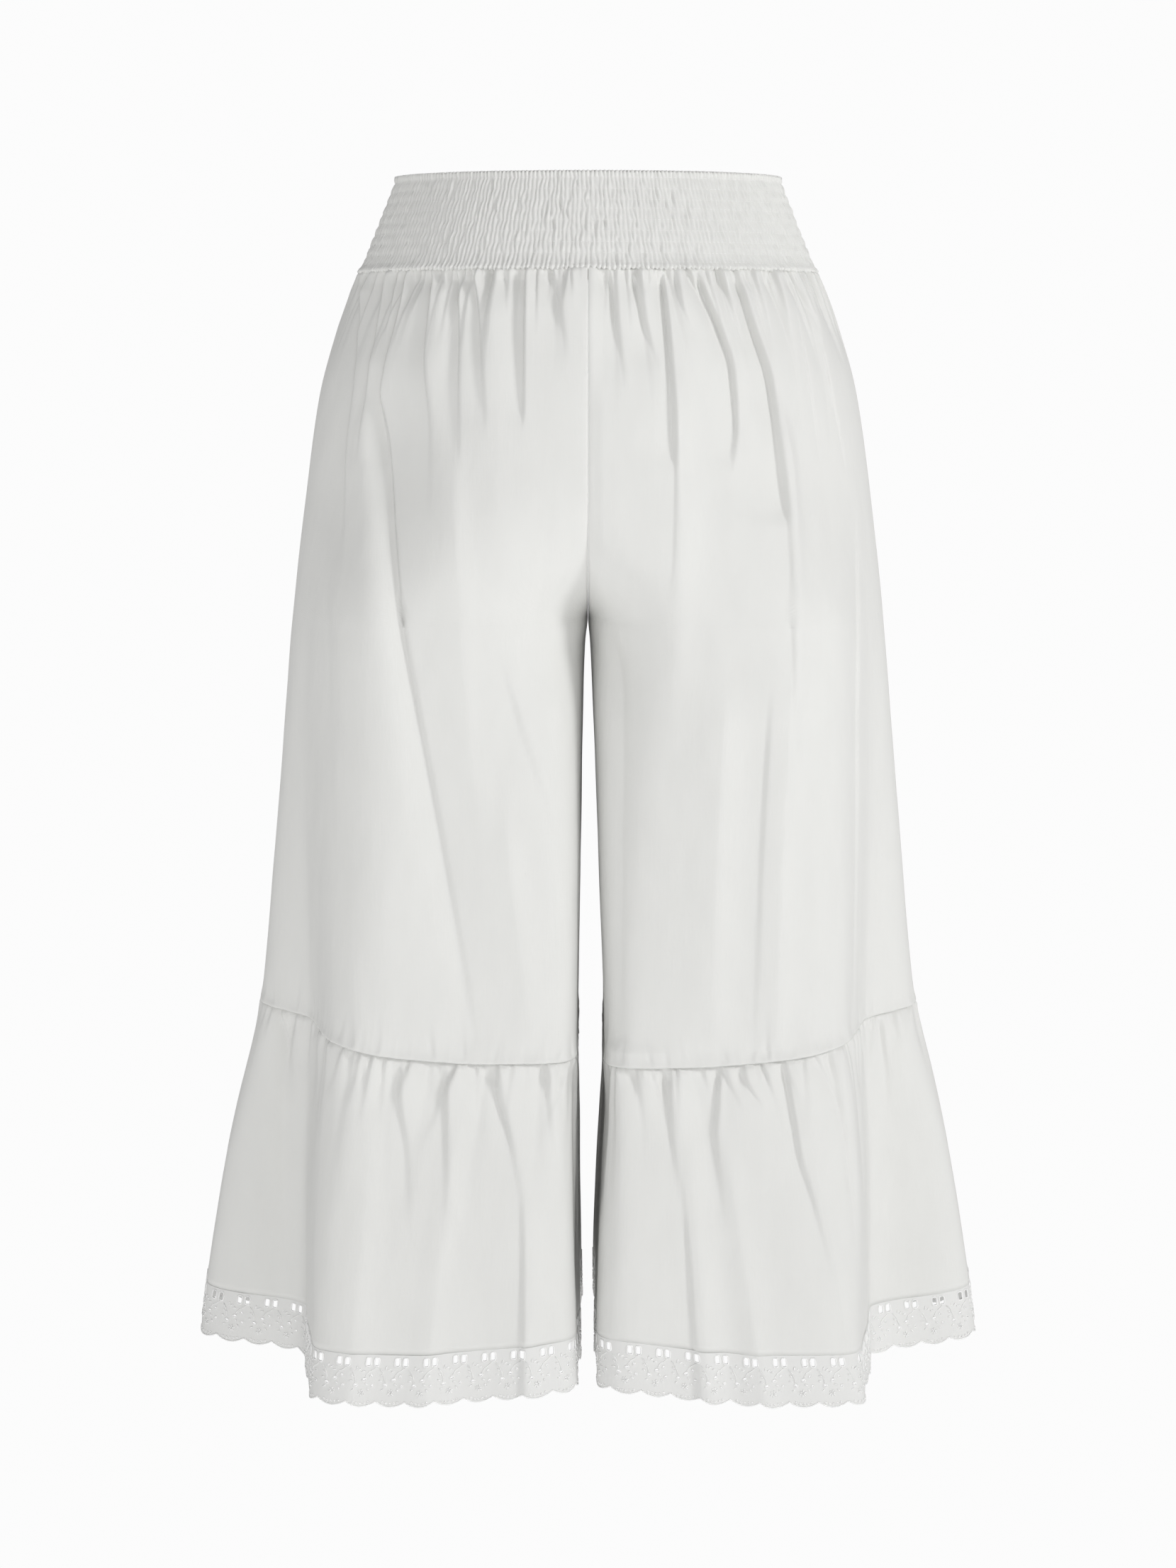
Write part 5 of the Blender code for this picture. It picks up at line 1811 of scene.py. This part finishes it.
@dataclass
class EyeletTrim:
    """Half of one leg's eyelet trim: cut slots and eyelets, satin stitch and a scalloped edge.

    The tile is drawn flat, x to the viewer's right from the middle of the slot pair and z
    up from the scallops' tips, in millimetres.
    """

    flounce: Flounce
    face: Face
    thickness: float = 0.0006
    width: float = 22.3
    height: float = 39.5
    valley: float = 4.24
    scallop_depth: float = 4.0
    scallop_fullness: float = 0.8
    first_valley: float = 0.2
    slot_size: tuple[float, float] = (4.1, 6.6)
    slot_spacing: float = 6.4
    slot_top: float = 2.0
    slot_steps: int = 12
    slot_satin: float = 1.1
    dot_spacing: float = 2.9
    dot_rise: float = 3.0
    dot_size: float = 1.15
    flower_down: float = 28.4
    petals: int = 6
    stem_width: float = 0.45
    edge_steps: int = 22
    top_steps: int = 10
    side_levels: tuple[float, ...] = (6.5, 10.5, 14.5, 18.5, 22.5, 26.5, 30.5, 34.5)
    net_spacing: float = 2.3
    net_start: tuple[float, float] = (1.4, 1.6)
    net_end: tuple[float, float] = (1.2, 1.0)
    net_clearance: float = 0.9
    border_steps: int = 24
    border_rise: float = 0.55
    scallop_width: float = 0.0225
    sharp_angle: float = math.radians(45)

    @property
    def name(self) -> str:
        """The name of the solid that this trim stands for."""
        return f"{self.face.value}_trim_{self.flounce.side.value}"

    @property
    def left(self) -> float:
        """Where the tile starts, clear of every hole."""
        return self.valley + self.first_valley * self.width - self.width

    @property
    def tip(self) -> float:
        """Where the scallop's tip is."""
        return self.valley - self.width / 2

    def edge(self, x: float) -> float:
        """Gives the height of the scalloped edge."""
        wave = abs(math.sin(math.pi * (x - self.valley) / self.width)) ** self.scallop_fullness
        return self.scallop_depth * (1 - wave)

    def edge_line(self, steps: int, rise: float) -> list[tuple[float, float]]:
        """Draws the scalloped edge of one repeat.

        Args:
            steps: Steps along it.
            rise: How far above the edge the line runs.

        Returns:
            The line.
        """
        line = [self.left + self.width * step / steps for step in range(steps + 1)]
        return [(x, self.edge(x) + rise) for x in line]

    @staticmethod
    def oval(
        x: float, z: float, wide: float, tall: float, tilt: float, steps: int
    ) -> list[tuple[float, float]]:
        """Draws an oval.

        Args:
            x: Its middle across.
            z: Its middle upwards.
            wide: Its width.
            tall: Its height.
            tilt: Its turn, in radians.
            steps: Its corners.

        Returns:
            The closed line.
        """
        turn = [2 * math.pi * step / steps for step in range(steps)]
        local = [(wide / 2 * math.cos(t), tall / 2 * math.sin(t)) for t in turn]
        c, s = math.cos(tilt), math.sin(tilt)
        return [(x + a * c - b * s, z + a * s + b * c) for a, b in local]

    def slot(self, x: float, z: float) -> list[tuple[float, float]]:
        """Draws one upright slot with rounded ends.

        Args:
            x: Its middle across.
            z: Its middle upwards.

        Returns:
            The closed line.
        """
        wide, tall = self.slot_size
        turn = [2 * math.pi * (step + 0.5) / self.slot_steps for step in range(self.slot_steps)]
        return [
            (x + wide / 2 * math.copysign(abs(math.cos(t)) ** 0.5, math.cos(t)),
             z + tall / 2 * math.copysign(abs(math.sin(t)) ** 0.5, math.sin(t)))
            for t in turn
        ]

    def cuts(self) -> list[Outline]:
        """Lists the holes of one repeat.

        Returns:
            Their outlines.
        """
        z = self.height - self.slot_top - self.slot_size[1] / 2
        found = [Outline(self.slot(way * self.slot_spacing / 2, z), self.slot_satin) for way in (-1, 1)]
        for across, down, wide, tall, tilt, steps, satin in EYELETS:
            hole = self.oval(self.tip + across, self.height - down, wide, tall, tilt, steps)
            found.append(Outline(hole, satin))
        for step in (-2, -1, 0, 1, 2):
            x = self.tip + self.dot_spacing * step
            dot = self.oval(x, self.edge(x) + self.dot_rise, self.dot_size, self.dot_size, 0.0, 8)
            found.append(Outline(dot, self.stem_width))
        return found

    def threads(self) -> list[tuple[list[tuple[float, float]], float]]:
        """Lists the stitched lines of one repeat.

        Returns:
            For each a path and its greatest width.
        """
        tip, top = self.tip, self.height
        found = []
        for petal in range(self.petals):
            turn = 2 * math.pi * petal / self.petals + 0.35
            middle = top - self.flower_down
            ray = [(tip + r * math.cos(turn), middle + r * math.sin(turn)) for r in (0.5, 1.5, 2.6)]
            found.append((ray, 1.0))
        for stem in STEMS:
            found.append(([(tip + across, top - down) for across, down in stem], self.stem_width))
        for across, down, turn, length in LEAVES:
            x, z = tip + across, top - down
            c, s = math.cos(turn), math.sin(turn)
            ray = [(x + length * r * c, z + length * r * s) for r in (-0.5, 0.0, 0.5)]
            found.append((ray, 1.1))
        return found

    def cloth_tile(self) -> bpy.types.Object:
        """Makes one repeat of the cloth, flat and cut through.

        Returns:
            The tile, not yet in the scene.
        """
        right = self.left + self.width
        outline = self.edge_line(self.edge_steps, 0.0)
        outline += [(right, z) for z in self.side_levels]
        top_line = [right - self.width * step / self.top_steps for step in range(self.top_steps + 1)]
        outline += [(x, self.height) for x in top_line]
        outline += [(self.left, z) for z in self.side_levels[::-1]]
        holes = [cut.points for cut in self.cuts()]
        points = []
        edges = []
        for ring in [outline, *holes]:
            first = len(points)
            points += [Vector(p) for p in ring]
            edges += [(first + i, first + (i + 1) % len(ring)) for i in range(len(ring))]
        fixed = np.array([tuple(p) for p in points])
        x = self.left + self.net_start[0]
        while x < right - self.net_end[0]:
            z = self.edge(x) + self.net_start[1]
            while z < self.height - self.net_end[1]:
                near = np.hypot(*(fixed - (x, z)).T).min()
                if near > self.net_clearance and not any(inside((x, z), hole) for hole in holes):
                    points.append(Vector((x, z)))
                z += self.net_spacing
            x += self.net_spacing
        flat, _, triangles, _, _, _ = delaunay_2d_cdt(points, edges, [], 0, 1e-5)
        kept = []
        for face in triangles:
            middle = sum((flat[v] for v in face), Vector((0.0, 0.0))) / len(face)
            if inside(middle, outline) and not any(inside(middle, hole) for hole in holes):
                kept.append(tuple(face))
        mesh = bpy.data.meshes.new(f"{self.name}_cloth_tile")
        mesh.from_pydata([((p.x - self.left) / 1000, 0.0, p.y / 1000) for p in flat], [], kept)
        with edited(mesh) as work:
            loose = [vertex for vertex in work.verts if not vertex.link_faces]
            bmesh.ops.delete(work, geom=loose, context="VERTS")
        return bpy.data.objects.new(mesh.name, mesh)

    def thread_tile(self) -> bpy.types.Object:
        """Makes one repeat of the raised stitching.

        Returns:
            The tile, not yet in the scene.
        """
        mesh = bpy.data.meshes.new(f"{self.name}_thread_tile")
        with edited(mesh) as work:
            for cut in self.cuts():
                bead(work, self.shifted(cut.points), [cut.satin] * len(cut.points), True)
            for path, widest in self.threads():
                count = len(path)
                widths = [widest] * count
                if widest > self.stem_width:
                    swell = [math.sin(math.pi * (i + 0.5) / count) for i in range(count)]
                    widths = [widest * (0.35 + 0.65 * part) for part in swell]
                bead(work, self.shifted(path), widths, False)
            border = self.edge_line(self.border_steps, self.border_rise)
            widths = [1.25 if step % 2 else 1.0 for step in range(len(border))]
            bead(work, self.shifted(border), widths, False)
        return bpy.data.objects.new(mesh.name, mesh)

    def shifted(self, path: Iterable[tuple[float, float]]) -> list[tuple[float, float]]:
        """Moves a path so that the tile starts at 0, in metres."""
        return [((x - self.left) / 1000, z / 1000) for x, z in path]

    @staticmethod
    def tree(name: str, material: bpy.types.Material) -> bpy.types.NodeTree:
        """Builds the nodes that lay a tile side by side in a strip.

        Args:
            name: The tree's name.
            material: The strip's material.

        Returns:
            The tree, with the inputs Geometry, Tile, Repeats and Repeat Width.
        """
        inputs = {"Geometry": "Geometry", "Tile": "Object", "Repeats": "Int", "Repeat Width": "Float"}
        tree, start, placed = repeating_tree(name, inputs, "Tile", material)
        step = tree.nodes.new("ShaderNodeCombineXYZ")
        line = tree.nodes.new("GeometryNodeMeshLine")
        line.mode = "OFFSET"
        wire(
            tree,
            (start, "Repeat Width", step, "X"),
            (step, "Vector", line, "Offset"),
            (start, "Repeats", line, "Count"),
            (line, "Mesh", placed, "Points"),
        )
        return tree

    def strip(self, name: str, tile: bpy.types.Object, material: bpy.types.Material) -> bpy.types.Object:
        """Repeats a tile along the hem and bends the strip onto the form.

        Args:
            name: The piece's name.
            tile: One repeat, flat, with y as the distance behind the outer surface.
            material: The piece's material.

        Returns:
            The piece.
        """
        form = self.flounce.forms[self.face]
        side = self.flounce.side
        line = float(form.line_length(seam_height(side, "hem", 0.5)))
        repeats = round(line / self.scallop_width)
        pitch = self.width / 1000
        empty = bpy.data.meshes.new(f"{name}_seed")
        inputs = {"Tile": tile, "Repeats": repeats, "Repeat Width": pitch}
        piece = grown(name, empty, self.tree(name, material), inputs)
        flat = np.empty(len(piece.data.vertices) * 3, np.float32)
        piece.data.vertices.foreach_get("co", flat)
        flat = flat.reshape(-1, 3).astype(float)
        along = np.clip(flat[:, 0] / (repeats * pitch), 0.0, 1.0)
        # Seen from outside, the front of the right leg and the back of the left run leftwards.
        leftwards = (side is Side.RIGHT) == (self.face is Face.FRONT)
        share = 1 - along if leftwards else along
        hem = seam_height(side, "hem", share)
        height = hem + flat[:, 2]
        normal = form.outward(share, height)
        normal[:, 2] = 0.0
        normal /= np.linalg.norm(normal, axis=-1, keepdims=True)
        lift = self.flounce.lift(self.face, share, np.minimum(height, hem + TRIM_HEIGHT)) - flat[:, 1]
        placed = form.point(share, height) + normal * lift[:, None]
        piece.data.vertices.foreach_set("co", placed.astype(np.float32).reshape(-1))
        keep_measure(piece.data, flat[:, [0, 2, 1]])
        piece.data.update()
        return piece

    def build(self, cotton: bpy.types.Material, thread: bpy.types.Material) -> bpy.types.Object:
        """Makes the trim and its stitching.

        Args:
            cotton: The cloth's material.
            thread: The stitching's material.

        Returns:
            The trim's cloth.
        """
        cloth = self.strip(f"eyelet_{self.name}", self.cloth_tile(), cotton)
        thicken(cloth, self.thickness, self.sharp_angle)
        stitching = self.strip(f"stitching_{self.name}", self.thread_tile(), thread)
        mend_normals(stitching.data)
        stitching.data.shade_smooth()
        finish_piece(cloth, cotton, [self.name])
        finish_piece(stitching, thread)
        form = self.flounce.forms[self.face]
        length = round(float(form.line_length(seam_height(self.flounce.side, "hem", 0.5))), 3)
        rests_on = [f"cotton_flounce_{self.flounce.side.value}"]
        return cloth


# Across a stitched line: shares of its half width, and the depth behind the cloth's face.
BEAD_CUT = ((-1.0, 0.0002), (-0.55, -0.00055), (0.55, -0.00055), (1.0, 0.0002))


def inside(point: Sequence[float], outline: Sequence[Sequence[float]]) -> bool:
    """Tells whether a point lies inside a closed outline.

    Args:
        point: The point.
        outline: The corners of the outline.

    Returns:
        Whether it does.
    """
    x, z = point[0], point[1]
    found = False
    for (ax, az), (bx, bz) in zip(outline, [*outline[1:], outline[0]]):
        if (az > z) != (bz > z) and x < (bx - ax) * (z - az) / (bz - az) + ax:
            found = not found
    return found


def bead(
    work: bmesh.types.BMesh, path: Sequence[tuple[float, float]], widths: Sequence[float], closed: bool
) -> None:
    """Adds a raised line of satin stitch to a flat tile.

    Args:
        work: The tile's mesh.
        path: The line, in metres.
        widths: Its width at each point, in millimetres.
        closed: Whether it closes on itself.
    """
    line = np.array(path)
    if closed:
        ahead, behind = np.roll(line, -1, axis=0), np.roll(line, 1, axis=0)
    else:
        ahead = np.vstack([line[1:], 2 * line[-1:] - line[-2:-1]])
        behind = np.vstack([2 * line[:1] - line[1:2], line[:-1]])
    way = ahead - behind
    way /= np.maximum(np.linalg.norm(way, axis=1, keepdims=True), 1e-12)
    side = np.stack([-way[:, 1], way[:, 0]], axis=1)
    rings = []
    for place, out, width in zip(line, side, widths):
        half = width / 2000
        ring = []
        for share, deep in BEAD_CUT:
            spot = place + out * half * share
            ring.append(work.verts.new((spot[0], deep, spot[1])))
        rings.append(ring)
    spans = len(rings) if closed else len(rings) - 1
    for span in range(spans):
        here, after = rings[span], rings[(span + 1) % len(rings)]
        for corner in range(4):
            following = (corner + 1) % 4
            work.faces.new((here[corner], here[following], after[following], after[corner]))
    if not closed:
        work.faces.new(rings[0])
        work.faces.new(rings[-1][::-1])


def mend_normals(mesh: bpy.types.Mesh) -> None:
    """Turns a closed mesh's faces outwards."""
    with edited(mesh) as work:
        bmesh.ops.recalc_face_normals(work, faces=work.faces)


def thicken(piece: bpy.types.Object, thickness: float, sharp: float) -> None:
    """Gives an open skin its thickness, inwards, and keeps it as a plain mesh.

    Args:
        piece: The skin, with its faces turned any one way.
        thickness: How thick it becomes.
        sharp: The angle from which an edge is drawn sharp.
    """
    with edited(piece.data) as work:
        bmesh.ops.recalc_face_normals(work, faces=work.faces)
        centre = sum((vertex.co for vertex in work.verts), Vector()) / len(work.verts)
        outwards = 0.0
        for face in work.faces:
            outwards += face.normal.dot(face.calc_center_median() - centre) * face.calc_area()
        if outwards < 0:
            bmesh.ops.reverse_faces(work, faces=work.faces)
    solid = piece.modifiers.new("thickness", "SOLIDIFY")
    solid.thickness = thickness
    solid.offset = -1.0
    plain = carried_out(piece)
    piece.modifiers.remove(solid)
    piece.data = plain
    plain.shade_smooth()
    plain.set_sharp_from_angle(angle=sharp)


class Lamp(NamedTuple):
    """One soft square light."""

    name: str
    place: tuple[float, float, float]
    size: float
    watts: float


LAMPS = (
    Lamp("key", (3.1, -1.9, 1.3), 0.7, 54.0),
    Lamp("front", (0.1, -3.6, -0.4), 1.0, 32.0),
    Lamp("fill", (-3.2, -1.9, 0.3), 1.4, 9.0),
)


@dataclass
class Studio:
    """A plain pale floor, soft light and the camera."""

    floor_height: float = -1.06
    floor_half: float = 30.0
    paper: float = 0.972
    light_left: float = 0.41
    light_right: float = 0.43
    aim: tuple[float, float, float] = (0.0, 0.0, -0.40)
    camera_place: tuple[float, float, float] = (0.0, -2.6, -0.113)
    camera_tilt: float = math.radians(7.193)
    lens: float = 75.56
    long_side: float = 36.0

    def build_floor(self) -> None:
        """Makes the floor."""
        mesh = bpy.data.meshes.new("floor")
        half, z = self.floor_half, self.floor_height
        corners = [(-half, -half, z), (half, -half, z), (half, half, z), (-half, half, z)]
        mesh.from_pydata(corners, [], [(0, 1, 2, 3)])
        floor = linked("floor", mesh)
        paper = bpy.data.materials.new("pale_floor")
        paper.use_nodes = True
        shader = paper.node_tree.nodes["Principled BSDF"]
        shader.inputs["Base Color"].default_value = (0.0, 0.0, 0.0, 1.0)
        shader.inputs["Roughness"].default_value = 1.0
        shader.inputs["Specular IOR Level"].default_value = 0.0
        shader.inputs["Emission Color"].default_value = (1.0, 1.0, 1.0, 1.0)
        shader.inputs["Emission Strength"].default_value = self.paper
        mesh.materials.append(paper)

    def build_world(self) -> None:
        """Lights the room evenly, a little more from the right, against a pale background."""
        world = bpy.data.worlds.new("studio")
        bpy.context.scene.world = world
        world.use_nodes = True
        nodes, links = world.node_tree.nodes, world.node_tree.links
        nodes.clear()
        where = nodes.new("ShaderNodeTexCoord")
        split = nodes.new("ShaderNodeSeparateXYZ")
        ramp = nodes.new("ShaderNodeMapRange")
        ramp.inputs["From Min"].default_value = -1.0
        ramp.inputs["From Max"].default_value = 1.0
        ramp.inputs["To Min"].default_value = self.light_left
        ramp.inputs["To Max"].default_value = self.light_right
        soft = nodes.new("ShaderNodeBackground")
        plain = nodes.new("ShaderNodeBackground")
        plain.inputs["Color"].default_value = (self.paper, self.paper, self.paper, 1.0)
        path = nodes.new("ShaderNodeLightPath")
        mix = nodes.new("ShaderNodeMixShader")
        out = nodes.new("ShaderNodeOutputWorld")
        links.new(where.outputs["Generated"], split.inputs["Vector"])
        links.new(split.outputs["X"], ramp.inputs["Value"])
        links.new(ramp.outputs["Result"], soft.inputs["Strength"])
        links.new(path.outputs["Is Camera Ray"], mix.inputs["Fac"])
        links.new(soft.outputs["Background"], mix.inputs[1])
        links.new(plain.outputs["Background"], mix.inputs[2])
        links.new(mix.outputs["Shader"], out.inputs["Surface"])

    def build_light(self, lamp: Lamp) -> None:
        """Adds one soft light that looks at the garment.

        Args:
            lamp: The light.
        """
        data = bpy.data.lights.new(lamp.name, "AREA")
        data.shape = "SQUARE"
        data.size = lamp.size
        data.energy = lamp.watts
        made = bpy.data.objects.new(lamp.name, data)
        made.location = lamp.place
        aim = Vector(self.aim) - Vector(lamp.place)
        made.rotation_euler = aim.to_track_quat("-Z", "Y").to_euler()
        bpy.context.scene.collection.objects.link(made)

    def build(self) -> None:
        """Sets up the floor, the light and the camera."""
        self.build_floor()
        self.build_world()
        for lamp in LAMPS:
            self.build_light(lamp)
        data = bpy.data.cameras.new("camera")
        data.sensor_fit = "VERTICAL"
        data.sensor_height = self.long_side
        data.lens = self.lens
        camera = bpy.data.objects.new("camera", data)
        camera.location = self.camera_place
        camera.rotation_euler = (math.radians(90) - self.camera_tilt, 0.0, 0.0)
        bpy.context.scene.collection.objects.link(camera)
        bpy.context.scene.camera = camera
        bpy.context.scene.view_settings.view_transform = "Standard"


def main() -> None:
    """Builds every piece in order."""
    logging.basicConfig(level=logging.INFO, format="%(message)s")
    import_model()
    Studio().build()
    plain = PLAIN.material()
    # The band's cotton is painted lighter than the legs' cotton, as painted light over the shade of its
    # ridges.
    shirred = SHIRRED.material()
    trim = TRIM.material()
    thread = THREAD.material()
    ShirredBand().build(shirred, thread)
    for side in Side:
        forms = {face: LegForm(side, face) for face in Face}
        for face in Face:
            LegPanel(forms[face]).build(plain)
        flounce = Flounce(forms)
        flounce.build(plain)
        for face in Face:
            EyeletTrim(flounce, face).build(trim, thread)


if __name__ == "__main__":
    main()
